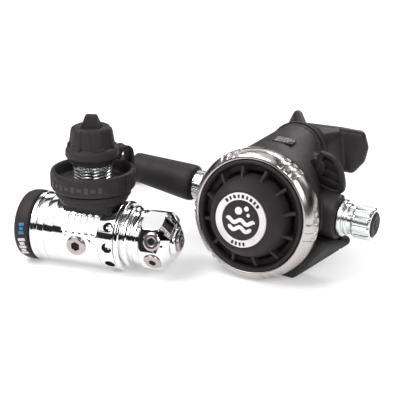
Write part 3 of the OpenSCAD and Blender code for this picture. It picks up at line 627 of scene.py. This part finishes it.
# Saddle and strap
seat_low = boolean(rod(18.5, 12, 21.2, 144), [box_mesh(40, 24.8, 30, (0, 0, 18))], "INTERSECT")
seat_up = lathe([(0, 20.6), (19.6, 20.6), (20.2, 21.2), (20.8, 23.6), (20.6, 23.98), (0, 23.98)], "z", 160,
                0.25, False)
saddle = cut(fused(seat_low, seat_up), moved(rod(20.06, -30, 30, 180), turn(90, "Y")), rod(11.2, 0, 40))
piece("saddle_seat", bevelled(saddle, 0.4, 3, 35), FIRST, "set", "plastic", ["saddle"], 40)

strap_ring = lathe([(11.3, 24.05), (21.6, 24.05), (22, 24.4), (22, 27), (21.6, 27.4), (11.3, 27.4)], "z",
                   144, 0.4)
path = [(20.5, 25.7), (23.5, 25.7), (25.4, 26.2), (26.1, 28), (26.15, 33), (26.15, 39), (26.1, 43.6),
        (25.4, 46.4), (23.6, 48.1), (21.4, 48.4), (19.2, 47.7), (17.6, 45.8), (17, 43.6), (15.9, 42.6)]


def ribbon(points, width, thick):
    """A flat strap along a path in the X-Z plane, with rounded edges and a raised rim on each side."""
    pts = smooth_line([(x, 0, z) for x, z in points], 5)
    verts, faces, section = [], [], []
    h, w = thick / 2, width / 2
    for x, z in rounded([(-w, -h), (w, -h), (w, h), (w - 1, h), (w - 1.6, h - 0.4), (-w + 1.6, h - 0.4),
                         (-w + 1, h), (-w, h)], 0.35, True, 3):
        section.append((x, z))
    m = len(section)
    for i, p in enumerate(pts):
        d = (pts[min(i + 1, len(pts) - 1)] - pts[max(i - 1, 0)]).normalized()
        up = Vector((d.z, 0, -d.x))
        for s, q in section:
            verts.append(p + Vector((0, 1, 0)) * s + up * q)
    for i in range(len(pts) - 1):
        for k in range(m):
            faces.append((i * m + k, i * m + (k + 1) % m, (i + 1) * m + (k + 1) % m, (i + 1) * m + k))
    n = len(pts) - 1
    faces += [tuple(range(m)), tuple(n * m + k for k in range(m))]
    return mesh_from(verts, faces)


tail = moved(ribbon(path, 8.4, 2), turn(60, "Z"))
piece("cap_strap_ring", strap_ring, FIRST, "set", "rubber", ["strap"], 45)
tail_fixed, tail_free = [MM @ FIRST @ turn(60, "Z") @ Vector((x, 0, z)) for x, z in ((26, 30), (26, 44))]
strap_tail = piece("cap_strap_tail", tail, FIRST, "", "rubber", ["strap"], 45)
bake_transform(strap_tail)
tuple(tail_fixed)
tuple(tail_free)

# DIN connector
piece("inlet_core", lathe([(4.2, 18.1), (8, 18.1), (8, 28), (7.4, 28.2), (7.4, 50.9), (6.9, 50.9), (6.9, 50),
                           (5.1, 50), (5.1, 50.9), (4.4, 50.9), (4.2, 50.7)], "z", 96, 0.15), FIRST, "set",
      "chrome", ["inlet_tube"])
piece("filter_cone", lathe([(0, 48), (1.9, 48), (4.1, 36.2), (4.1, 36), (0, 36)], "z", 64, 0.2, False),
      FIRST, "set", "brass", ["inlet_filter"])
PITCH, CREST, DEPTH = 1.814, 11.45, 1.0


def thread():
    """The threaded stud as one helical skin over a stepped bore."""
    cols, low, top, step = 96, 31.6, 51.5, 0.2
    verts, faces = [], []
    heights = [low + step * i for i in range(int((top - low) / step) + 1)]
    for z in heights:
        for k in range(cols):
            ph = ((z / PITCH) - k / cols) % 1
            wave = abs(2 * ph - 1)
            d = min(1, max(0, (wave - 0.12) / 0.76))
            fade = min(1, max(0, (z - 31.8) / 1.0)) * min(1, max(0, (51.3 - z) / 0.8))
            r = CREST - DEPTH * d * fade - 0.8 * max(0, (z - 50.7) / 0.8)
            verts.append(AXES["z"](r, 2 * pi * k / cols, z))
    n = len(heights)
    for i in range(n - 1):
        for k in range(cols):
            faces.append((i * cols + k, i * cols + (k + 1) % cols, (i + 1) * cols + (k + 1) % cols,
                          (i + 1) * cols + k))
    base = n * cols
    for r, z in ((7.5, 51.5), (7.5, 28.4), (8.2, 28.4), (13.4, 28.5), (13.4, 31.4), (11.5, 31.5)):
        for k in range(cols):
            verts.append(AXES["z"](r, 2 * pi * k / cols, z))
    rings = [n - 1] + [n + j for j in range(6)] + [0]
    for i, j in zip(rings, rings[1:]):
        for k in range(cols):
            faces.append((i * cols + k, i * cols + (k + 1) % cols, j * cols + (k + 1) % cols, j * cols + k))
    return mesh_from(verts, faces)


piece("thread_stud", thread(), FIRST, "handwheel", "bright", ["din_stud"], 28)

WHEEL_R = 24.8
GRIPS = (-23, 97, 217)


def wheel_side(t, r, z):
    """Three grips round the rim, each with a flat beside it."""
    if r < WHEEL_R - 1.2:
        return r, z
    for g in GRIPS:
        d = abs((t - g + 180) % 360 - 180)
        if d < 8.6:
            return min(r, WHEEL_R - 0.75 if d < 7.7 else WHEEL_R - 1.4), z
        if d > 9.6 and d < 21:
            return min(r, WHEEL_R - 0.3), z
    return r, z


edges = [(g + s * d) % 360 for g in GRIPS for s in (-1, 1) for d in (7.7, 8.6, 21)]
wz, wh = 27.9, 11.7
wheel = lathe([(11.5, wz), (WHEEL_R - 2.4, wz, 0.5), (WHEEL_R - 0.9, wz + 0.5, 0.6),
               (WHEEL_R - 0.1, wz + 1.6, 0.8), (WHEEL_R, wz + 2.6), (WHEEL_R, wz + wh - 2.6),
               (WHEEL_R - 0.15, wz + wh - 1.6, 0.6), (WHEEL_R - 0.7, wz + wh - 0.5, 0.6),
               (WHEEL_R - 1.7, wz + wh, 0.5), (WHEEL_R - 2.5, wz + wh - 0.1, 0.4),
               (WHEEL_R - 3.2, wz + wh - 1.1, 0.6), (WHEEL_R - 3.9, wz + wh - 3),
               (WHEEL_R - 4.5, wz + 5.2, 0.6), (WHEEL_R - 5.4, wz + 4.1, 0.5), (11.5, wz + 4.1)], "z",
              steps_at(edges, 168, 0.1), 0.3, vary=wheel_side)
piece("handwheel_cup", bevelled(wheel, 0.16, 2, 40), FIRST, "handwheel", "rubber", ["handwheel"], 45)
# A low relief of plain bars, in the place of the moulded lettering
marks = []
for k in range(9):
    angle = -134 + 9.4 * k + 3
    bar = box_mesh(0.5, 2.9 if k % 2 else 2.3, 3.6 if k % 2 == 0 else 2.0)
    bar.transform(turn(angle, "Z") @ shift(WHEEL_R - 0.12, 0, wz + 5.4))
    marks.append(bar)
piece("handwheel_relief", bevelled(joined(marks), 0.14), FIRST, "handwheel", "relief")

CAP_Z = 43.4


def cap_side(t, r, z):
    """Six raised panels round the dome."""
    if z > CAP_Z + 9.6 and z < CAP_Z + 20.6 and r > 9:
        d = abs((t - 70 + 30) % 60 - 30)
        lift = 0.75 * max(0, min(1, (13.5 - d) / 2.2))
        return r + lift - 0.55, z
    return r, z


dome = lathe([(11.75, CAP_Z), (13.1, CAP_Z, 0.4), (13.4, CAP_Z + 0.4), (13.6, CAP_Z + 2.0, 0.6),
              (15.0, CAP_Z + 3.2, 0.5), (15.55, CAP_Z + 4.2, 0.6), (15.6, CAP_Z + 5.6),
              (15.45, CAP_Z + 7.6, 0.6), (14.7, CAP_Z + 8.9, 0.6), (13.5, CAP_Z + 9.5, 0.5),
              (13.2, CAP_Z + 11), (12.7, CAP_Z + 14), (12.0, CAP_Z + 18.6, 0.6), (11.5, CAP_Z + 20.2, 0.9),
              (10.2, CAP_Z + 21.2, 0.8), (8.6, CAP_Z + 21.3, 0.6), (7.6, CAP_Z + 20.7, 0.5),
              (0, CAP_Z + 20.8), (0, CAP_Z + 12, 0), (8.5, CAP_Z + 11.4), (11.7, CAP_Z + 8.4),
              (11.75, CAP_Z + 4)], "z", 240, 0.3, False, vary=cap_side)
tab = ball_hull([(s * 4.4, q * 1.9, CAP_Z + 21.4, 1) for s in (-1, 1) for q in (-1, 1)]
                + [(s * 5.2, q * 3.6, CAP_Z + 20.4, 0.6) for s in (-1, 1) for q in (-1, 1)]
                + [(s * 2.4, q * 0.9, CAP_Z + 27.0, 1.1) for s in (-1, 1) for q in (-1, 1)], 4)
dome = joined([dome, moved(tab, turn(12, "Z"))])
for k in range(6):
    clip = moved(box_mesh(1.5, 6.8, 2.6), turn(10 + 60 * k, "Z") @ shift(13.25, 0, CAP_Z + 10.2)
                 @ turn(-7, "Y"))
    dome = joined([dome, bevelled(clip, 0.3, 2)])
piece("dust_cap_dome", dome, FIRST, "dust_cap", "rubber", ["dust_cap"], 50)

# ---------- second stage ----------
def knurled(t, r, a):
    """Eighteen grooves."""
    d = abs((t + 10) % 20 - 10)
    return (r - 0.75 if d < 2.6 and r > 8.2 else r), a


nut = lathe([(6.7, -51.2), (8.3, -51.2), (9, -50.5), (9, -44.5), (8.3, -43.7), (6.7, -43.7)], "x",
            steps_at([(20 * k + s * 2.6) % 360 for k in range(18) for s in (-1, 1)], 180), 0.25, vary=knurled)
piece("nut_knurled", bevelled(nut, 0.14), BARREL, "swivel_nut", "bright", ["swivel_nut"])
piece("barrel_tube", lathe([(6, -43), (6, 43.4), (8.95, 43.4), (8.95, -42.9), (6.5, -43), (6.5, -49.8),
                            (5.2, -50), (5.2, -44)], "x", 120, 0.2), BARREL, "second_stage", "chrome",
      ["valve_barrel"])
piece("gland_collar", lathe([(3.1, 43.75), (10.3, 43.75), (10.75, 44.2), (10.8, 44.8), (10.8, 45.9),
                             (10.5, 46.5), (9.9, 46.8), (9.0, 46.9), (8.8, 47.4), (9.1, 47.9), (9.1, 48.8),
                             (8.5, 49.2), (8.2, 49.6), (8.2, 52), (3.1, 52)], "x", 160, 0.25), BARREL,
      "second_stage", "bright", ["gland_ring"])


def fluted(t, r, a):
    """Twelve flutes that start past the knob's skirt."""
    d = abs((t + 15) % 30 - 15)
    if r > 8.2 and a > 53.1:
        bowl = max(0, 1 - (d / 6.6) ** 2)
        return r - 0.75 * sqrt(bowl) * min(1, (a - 53.1) / 1.2), a
    return r, a


knob = lathe([(3.1, 52.3), (8.4, 52.3), (9.1, 52.7), (9.7, 53.5), (9.75, 54.2), (9.75, 62.2), (9.5, 62.9),
              (8.9, 63.4), (7.6, 63.6), (7.25, 63.3), (7.2, 62.6), (3.1, 62.6)], "x", 240, 0.25, vary=fluted)
piece("knob_shell", knob, BARREL, "knob", "bright", ["knob"])
insert = lathe([(0, 62.7), (7.1, 62.7), (7.1, 63.6), (6.8, 64.1), (6.1, 64.5), (5.2, 64.6), (5.0, 64.35),
                (0, 64.35)], "x", 96, 0.2, False)
tabs = [moved(bevelled(slab(1.1, 4.2 - abs(k) * 0.9, 64.2, 64.75, 0.3), 0.1), turn(90, "Y")
              @ shift(2.0 * k, 0, 0)) for k in (-1, 0, 1)]
piece("knob_face", joined([insert] + tabs), BARREL, "knob", "plastic", ["knob_insert"])


def case_skin(w, y_front):
    """A skin round the ring's disc and the neck's disc, w smaller, from y_front to the neck."""
    def support(y, s):
        outer = RING_R - w + (NECK_Z * s + NECK_R - RING_R) * (y - 12) / 37
        inner = CASE_R - w + (NECK_Z * s + NECK_R - CASE_R) * (y - 17) / 32
        if y <= 12:
            return RING_R - w
        if y < 17:
            inner = RING_R - w + (CASE_R - RING_R) * (y - 12) / 5
        return max(outer, inner)
    ys = [y_front, 6, 9, 11, 12, 13, 14.5, 16, 17, 18, 20] + [20 + 2.9 * k for k in range(1, 10)] + [48, 49]
    n = 180
    verts, faces = [], []
    for y in ys:
        for k in range(n):
            t = 2 * pi * k / n
            reach = support(y, sin(t))
            slope = (support(y, sin(t + 0.01)) - support(y, sin(t - 0.01))) / 0.02
            verts.append((reach * cos(t) - slope * sin(t), y, reach * sin(t) + slope * cos(t)))
    m = len(ys)
    for i in range(m - 1):
        for k in range(n):
            faces.append((i * n + k, i * n + (k + 1) % n, (i + 1) * n + (k + 1) % n, (i + 1) * n + k))
    faces += [tuple(range(n)), tuple((m - 1) * n + k for k in range(n))]
    return mesh_from(verts, faces)


along_x = turn(90, "Y")
along_y = turn(-90, "X")
barrel_boss = lathe([(0, -43), (12.6, -43), (13.4, -42.2), (13.4, 42.8), (12.6, 43.6), (0, 43.6)], "x", 128,
                    0.6, False)
lever_boss = lathe([(0, 8), (6.6, 8), (6.4, 19.7), (5.9, 20.2), (0, 20.2)], "x", 96, 0.4, False)
neck = rod(15, 44, 62.5, 128)
case = joined([case_skin(0, 3.2), moved(barrel_boss, BARREL_IN), moved(lever_boss, LEVER_IN),
               moved(neck, shift(0, 0, NECK_Z) @ along_y)])
case = remeshed(case, 0.55, 5, 0.5)
neck_bore = moved(rod(12.4, 34, 80, 96), shift(0, 0, NECK_Z) @ along_y)
rise = NECK_Z + NECK_R - RING_R
plate = shift(0, 31, RING_R + 19 * rise / 35) @ turn(degrees(atan2(rise, 35)), "X")
tools = [moved(rod(33.6, 0, 10, 128), along_y), neck_bore,
         moved(rod(9.05, -45, -12, 96), BARREL_IN @ along_x),
         moved(rod(9.05, 12, 46, 96), BARREL_IN @ along_x),
         moved(slab(13.6, 8.4, -0.55, 4, 0.9), plate @ shift(2.4, -4.5, 0)),
         moved(rod(12.9, 19.9, 50, 128), LEVER_IN @ along_x),
         lathe([(36.75, -1), (48, -1), (48, 7.85), (36.75, 7.85)], "y", 160, 0.05)]
case = cut(case, *tools)
piece("case_shell", case, SECOND, "second_stage", "plastic", ["case"], 40)
# The step behind the ring
piece("case_lip", lathe([(33.7, 3.2), (36.55, 3.2), (36.6, 8.4), (35.8, 9.4), (33.7, 9.4)], "y", 180, 0.3),
      SECOND, "second_stage", "plastic")

NOTCH = [60 * g + 2 + 7.5 * k for g in range(6) for k in (-1, 0, 1)]


def ring_side(t, r, a):
    """Six groups of three shallow notches."""
    if r > 35.2 and -4.9 < a < 4.4:
        for c in NOTCH:
            if abs((t - c + 180) % 360 - 180) < 2.3:
                return r - 0.75, a
    return r, a


edges = [(c + s * 2.3) % 360 for c in NOTCH for s in (-1, 1)]
ring = lathe([(32.85, -5.2), (33.6, -5.45, 0.2), (34.4, -5.3, 0.3), (35.4, -4.6), (36.4, -3.5), (37.2, -2.1),
              (37.75, -0.7), (38.05, 0.8), (38.2, 2.4), (38.2, 4.35, 0), (38.2, 4.5, 0), (38.15, 6.2, 0.3),
              (37.8, 7.2, 0.4), (37.2, 7.6, 0.2), (36.75, 7.6), (36.75, 2.8), (32.85, 2.8)], "y",
             steps_at(edges, 216, 0.12), 0.35, vary=ring_side)
piece("front_ring_notched", bevelled(ring, 0.18, 2, 40), SECOND, "second_stage", "ring", ["front_ring"], 30)

cover = lathe([(29.3, -0.6), (29.3, -3.4), (29.7, -5, 0.8), (30.6, -6.0, 0.8), (31.6, -6.15, 0.5),
               (32.3, -5.5, 0.4), (32.5, -4.6), (32.5, 2.7), (24.7, 2.7), (24.7, 1.4), (26, 0.6),
               (26, -0.6)], "y", 216, 0.4)
piece("front_cover_rim", cover, SECOND, "second_stage", "plastic", ["front_cover"], 40)
ribs = []
for i in range(12):
    rib = ball_hull([(23.2, -4.0, q * 0.45, 0.75) for q in (-1, 1)]
                    + [(22.8, -8.4, q * 0.2, 0.6) for q in (-1, 1)]
                    + [(28.4, -3.4, q * 0.35, 0.75) for q in (-1, 1)]
                    + [(28.3, -5.3, q * 0.25, 0.7) for q in (-1, 1)], 3)
    ribs.append(moved(rib, turn(30 * (i + 0.5), "Y")))
piece("purge_ribs", joined(ribs), SECOND, "purge", "rubber", sharp=60)

button = lathe([(0, -15.55, 0), (15.95, -15.55, 0.1), (16.0, -16.4), (16.3, -16.85, 0.2), (17, -16.95, 0.3),
                (17.8, -16.65, 0.5), (18.6, -15.9, 0.8), (19.6, -14.6), (20.9, -12.8, 1.2), (22.2, -10.6),
                (23.2, -8.2), (23.9, -5.4, 1), (24.2, -3), (24.25, -1.6, 0.2), (19, -1.5), (19, -4),
                (16, -9), (6, -12), (6, 3.3, 0), (0, 3.3, 0)], "y", 200, 0.4, False)
piece("purge_dome", button, SECOND, "purge", "rubber", ["purge_button"], 50)
badge = lathe([(11.65, -15.6), (11.65, -16.75, 0.1), (12, -17.0, 0.15), (15.4, -17.0, 0.15),
               (15.78, -16.7, 0.15), (15.78, -15.6)], "y", 160, 0.1)
piece("badge_ring", badge, SECOND, "purge", "print", ["badge"])
piece("badge_centre", lathe([(0, -15.6, 0), (0, -16.72, 0), (11.6, -16.72, 0.1), (11.6, -15.6, 0.1)], "y",
                            128, 0.1, False), SECOND, "purge", "emblem")


def arc_mark(radius, angle, w, h):
    """A plain bar on the badge, upright at its place on the circle."""
    me = bevelled(slab(w, h, -0.08, 0.12, 0.3), 0.05, 1)
    upright = Matrix(((0, 1, 0, 0), (0, 0, -1, 0), (-1, 0, 0, 0), (0, 0, 0, 1)))
    me.transform(turn(angle, "Y") @ shift(radius, -17.0, 0) @ upright)
    return me


marks = [arc_mark(13.75, -90 + 11 * k, 1.3 if k % 2 else 1.7, 2.1) for k in range(-4, 5)]
marks += [arc_mark(13.75, 90 + 10 * k, 1.3, 2.1) for k in (-1.5, -0.5, 0.5, 1.5)]
piece("badge_marks", joined(marks), SECOND, "purge", "emblem")


# Emblem: two plain waves under three bubbles
def wave_mesh(half, low, w):
    """A flat wavy band of half width w, tapered at its ends."""
    verts, faces = [], []
    n = 64
    for i in range(n + 1):
        x = -half + 2 * half * i / n
        z = low + 1.0 * cos(pi * x / 3.9)
        slope = -1.0 * pi / 3.9 * sin(pi * x / 3.9)
        k = sqrt(1 + slope * slope)
        e = w * min(1, 0.2 + min(i, n - i) / 5)
        for q in (e, -e):
            for y in (-16.7, -17.0):
                verts.append((x - q * slope / k, y, z + q / k))
    for i in range(n):
        o = 4 * i
        faces += [(o, o + 4, o + 5, o + 1), (o + 2, o + 3, o + 7, o + 6), (o, o + 2, o + 6, o + 4),
                  (o + 1, o + 5, o + 7, o + 3)]
    faces += [(0, 1, 3, 2), (4 * n, 4 * n + 2, 4 * n + 3, 4 * n + 1)]
    return mesh_from(verts, faces)


def bubble(x, z, r):
    return moved(lathe([(0, -16.7, 0), (0, -17.0, 0), (r, -17.0, 0.05), (r, -16.7, 0.05)], "y", 48, 0.05,
                       False), shift(x, 0, z))


piece("badge_emblem", joined([wave_mesh(9.0, -0.8, 1.1), wave_mesh(7.4, -5.0, 1.1), bubble(-1.8, 5.2, 2.2),
                              bubble(2.9, 7.2, 1.4), bubble(4.4, 3.7, 1.0)]), SECOND, "purge", "print")

# Venturi lever: a D-shaped loop with three louvres
loop = [(2.6, -7.0), (3.4, -8.9), (6, -10.2), (13.8, -10.4), (17.6, -9.2), (19.2, -6.4), (18.6, -2.2),
        (16.2, 3.4), (12.6, 8.0), (9.4, 10.3), (5, 10.4), (2.9, 8.8)]
outer = smooth_line([(x, z, 0) for x, z in loop + loop[:1]], 6)[:-1]


def loop_mesh():
    """A flat band with rounded edges that follows the outer line."""
    pts = [Vector((p.x, p.y)) for p in outer]
    n = len(pts)
    section = rounded([(0, -2.2), (2.5, -2.2), (2.5, 2.2), (0, 2.2)], 0.9, True, 4)
    m = len(section)
    verts, faces = [], []
    for i, p in enumerate(pts):
        d = (pts[(i + 1) % n] - pts[i - 1]).normalized()
        inward = Vector((-d.y, d.x))
        for q, y in section:
            v = p + inward * q
            verts.append((v.x, y, v.y))
    for i in range(n):
        for k in range(m):
            j = (i + 1) % n
            faces.append((i * m + k, i * m + (k + 1) % m, j * m + (k + 1) % m, j * m + k))
    return mesh_from(verts, faces)


lever = [moved(loop_mesh(), shift(17.8, -4.6, 0) @ Matrix.Diagonal((1.3, 1, 1, 1)))]
for i in range(3):
    w = (18.6, 17.4, 13)[i]
    lv = bevelled(box_mesh(w, 1.8, 5.4), 0.4, 2)
    lever.append(moved(lv, shift(17.8 + 4.6 + w / 2, -4.8 + 0.5 * i, -5.9 + 4.8 * i) @ turn(14, "X")))
lever.append(moved(lathe([(0, -6.6), (5.2, -6.6), (5.8, -6), (5.8, 1.4), (5.2, 2), (0, 2)], "y", 96, 0.4,
                         False), shift(22.4, 0, 0)))
back_plate = extruded([(1.3 * p.x * 0.9 + 1.4, p.y * 0.86) for p in outer], -0.5, 0.5)
lever.append(moved(back_plate, shift(17.8, -3.4, 0) @ turn(90, "X")))
lever.append(lathe([(0, 6), (3, 6), (3, 20.7), (0, 20.7)], "x", 64, 0.2, False))
piece("venturi_loop", joined(lever), LEVER, "venturi", "plastic", ["venturi_lever"], 45)

# Exhaust tee
tee = ball_hull([(s * 23, 13, -33.6, 2.4) for s in (-1, 1)] + [(s * 24, 23, -32.7, 2.4) for s in (-1, 1)]
                + [(s * 45, 33, -12.5, 3) for s in (-1, 1)] + [(s * 38, 15, -13, 3) for s in (-1, 1)]
                + [(0, 36, -10, 3)])
tee = remeshed(tee, 0.7, 4)
slots = [moved(slab(36, 7, -2.2, 2.2, 2), shift(s * 27, 28, -22.5) @ turn(-s * 22, "Y") @ turn(s * 12, "Z"))
         for s in (-1, 1)]
tee = cut(tee, case_skin(-0.1, -8), moved(rod(13.5, -60, 60, 96), BARREL_IN @ along_x),
          moved(rod(13, -33.2, -1, 96), shift(0, 20, 0)), *slots)
piece("tee_wings", bevelled(tee, 0.3, 2, 45), SECOND, "second_stage", "plastic", ["exhaust_tee"], 40)

# Mouthpiece, in soft silicone
def neck_circle(r, y, count):
    """Small balls round the neck, for a hull that starts from it."""
    return [(r * cos(2 * pi * k / count), y, NECK_Z + r * sin(2 * pi * k / count), 0.6) for k in range(count)]


collar = lathe([(0, 0.3), (16.9, 0.3), (17.4, 0.9), (17.4, 11.6), (16.4, 12.4), (0, 12.4)], "y", 128, 0.5,
               False)
throat = neck_circle(16.3, 60.5, 16) + [(-12, 76, 38, 3.5), (16, 77, 39, 3.5), (18, 77, 21, 3.5),
                                        (-12, 77, 21, 3.5)]
right_lobe = [(-8, 78, 38, 4), (16, 78, 39.6, 4), (27.6, 83, 38.8, 4), (29.6, 85, 32, 4), (28.6, 85, 25, 4),
              (24.6, 83, 19, 4), (-6, 78, 20, 4)]
left_lobe = [(4, 78, 38, 4), (4, 78, 20, 4), (-10, 80, 20, 4), (-20, 88, 24, 4), (-21, 90, 33.5, 4)]
horn = [(-8, 79, 37, 3.4), (-16.8, 88, 43.7, 3.2), (-21, 90, 34, 3.4), (-14, 82, 30, 3.4)]
mouth = [moved(collar, MOUTH_FLANGE)] + [ball_hull(balls) for balls in (throat, right_lobe, left_lobe, horn)]
for s in (-1, 1):
    mouth.append(ball_hull([(3 + s * 18, 80, 30 + q * 4.6, 1.6) for q in (-1, 1)]
                           + [(3 + s * 20, 102.6, 30 + q * 5, 1.6) for q in (-1, 1)]))
mouth = remeshed(joined(mouth), 0.6, 10, 0.5)
bite = ball_hull([(3 + s * 11, 93, 30 + q * 4, 1.4) for s in (-1, 1) for q in (-1, 1)] + neck_circle(10.4,
      63.5, 12))
mouth = cut(mouth, moved(rod(15.05, 48, 63.2, 96), shift(0, 0, NECK_Z) @ along_y), bite,
            moved(rod(25, -30, 80, 128), shift(3, 108, 0)))
mouth = bevelled(mouth, 0.5, 2, 50)
piece("mouthpiece_soft", mouth, SECOND, "second_stage", "silicone", ["mouthpiece"], 50)

tie = [moved(lathe([(17.42, 3.1), (18.1, 3.1), (18.3, 3.5), (18.3, 6), (18.1, 6.4), (17.42, 6.4)], "y", 160,
                   0.2), MOUTH_FLANGE), moved(bevelled(box_mesh(6.4, 4.4, 2.8), 0.4, 2),
                                              shift(0, 53.7, NECK_Z - 19))]
piece("clamp_tie", joined(tie), SECOND, "second_stage", "plastic", ["mouth_clamp"])

# Label plate with plain printed bars
plate_at = SECOND @ plate @ shift(2.4, -4.5, 0)
piece("label_base", bevelled(slab(13, 7.8, -0.5, 0.02, 0.7), 0.1), plate_at, "second_stage", "plastic",
      ["label_plate"])
rows = []
for j in range(3):
    x = -5.6
    for k, w in enumerate(((2.6, 1.2, 3.0, 0.9), (1.6, 2.8, 1.2, 2.2), (3.4, 1.0, 1.8, 1.2))[j]):
        rows.append(moved(box_mesh(w, 1.1, 0.06), shift(x + w / 2, 2.1 - 2 * j, 0.04)))
        x += w + 0.45
for k in range(3):
    rows.append(moved(box_mesh(0.5, 1.2 + 1.4 * (k == 1), 0.06), shift(4 + 0.9 * k, 0.6, 0.04)))
piece("label_print", joined(rows), plate_at, "second_stage", "grey")

# ---------- stage and light ----------
floor_mat, fb = shader("studio_floor", (0.8, 0.8, 0.8), roughness=0.85, specular=0.05)
fb.inputs["Emission Color"].default_value = (1, 1, 1, 1)
fb.inputs["Emission Strength"].default_value = 0.3
spread(floor_mat, texture(floor_mat, 3, 2), fb.inputs["Roughness"], 0.82, 0.9)
floor_me = bpy.data.meshes.new("studio_floor")
floor_me.from_pydata([(-6, -6, 0), (6, -6, 0), (6, 6, 0), (-6, 6, 0)], [], [(0, 1, 2, 3)])
floor_me.materials.append(floor_mat)
studio = bpy.data.objects.new("studio_floor", floor_me)
bpy.context.scene.collection.objects.link(studio)

world = bpy.data.worlds.new("studio")
bpy.context.scene.world = world
world.use_nodes = True
wn, wl = world.node_tree.nodes, world.node_tree.links
back = wn["Background"]
coord = wn.new("ShaderNodeTexCoord")
split = wn.new("ShaderNodeSeparateXYZ")
wl.new(coord.outputs["Generated"], split.inputs[0])


def band(axis, stops):
    """Brightness of the studio by direction along one axis."""
    ramp, scaled = wn.new("ShaderNodeValToRGB"), wn.new("ShaderNodeMapRange")
    scaled.inputs["From Min"].default_value = -1
    wl.new(split.outputs[axis], scaled.inputs["Value"])
    wl.new(scaled.outputs["Result"], ramp.inputs["Fac"])
    els = ramp.color_ramp.elements
    els[0].position, els[0].color = stops[0][0], (*[stops[0][1]] * 3, 1)
    els[1].position, els[1].color = stops[-1][0], (*[stops[-1][1]] * 3, 1)
    for at, v in stops[1:-1]:
        els.new(at).color = (v, v, v, 1)
    return ramp


up = band("Z", [(0, 0.9), (0.505, 0.9), (0.51, 0.02), (0.66, 0.03), (0.68, 1.25), (0.84, 1.3), (0.865, 0.06),
                (0.915, 0.06), (0.935, 1.1), (1, 1.1)])
side = band("X", [(0, 0.25), (0.1, 0.25), (0.14, 1), (0.5, 1), (0.53, 0.06), (0.69, 0.06), (0.72, 1),
                  (0.84, 1), (0.87, 0.15), (1, 0.15)])
mix = wn.new("ShaderNodeMix")
mix.data_type, mix.blend_type = "RGBA", "MULTIPLY"
mix.inputs[0].default_value = 1
wl.new(up.outputs["Color"], mix.inputs[6])
wl.new(side.outputs["Color"], mix.inputs[7])
wl.new(mix.outputs[2], back.inputs["Color"])
back.inputs["Strength"].default_value = 1.0


def area(name, at, towards, size, power, size_y=None):
    data = bpy.data.lights.new(name, "AREA")
    data.shape = "RECTANGLE"
    data.size = size
    data.size_y = size_y or size
    data.energy = power
    ob = bpy.data.objects.new(name, data)
    ob.location = at
    ob.rotation_euler = (Vector(towards) - Vector(at)).to_track_quat("-Z", "Y").to_euler()
    bpy.context.scene.collection.objects.link(ob)
    return ob


area("key", (-0.7, -0.5, 1.2), (0, 0, 0.03), 0.9, 16, 0.9)
area("fill", (0.9, -0.9, 0.9), (0.02, 0, 0.04), 0.7, 8, 0.7)
area("rim", (0.3, 0.9, 1.0), (0, 0, 0.05), 0.9, 8, 0.4)

bpy.context.scene.view_settings.view_transform = "Standard"
bpy.context.scene.view_settings.look = "None"
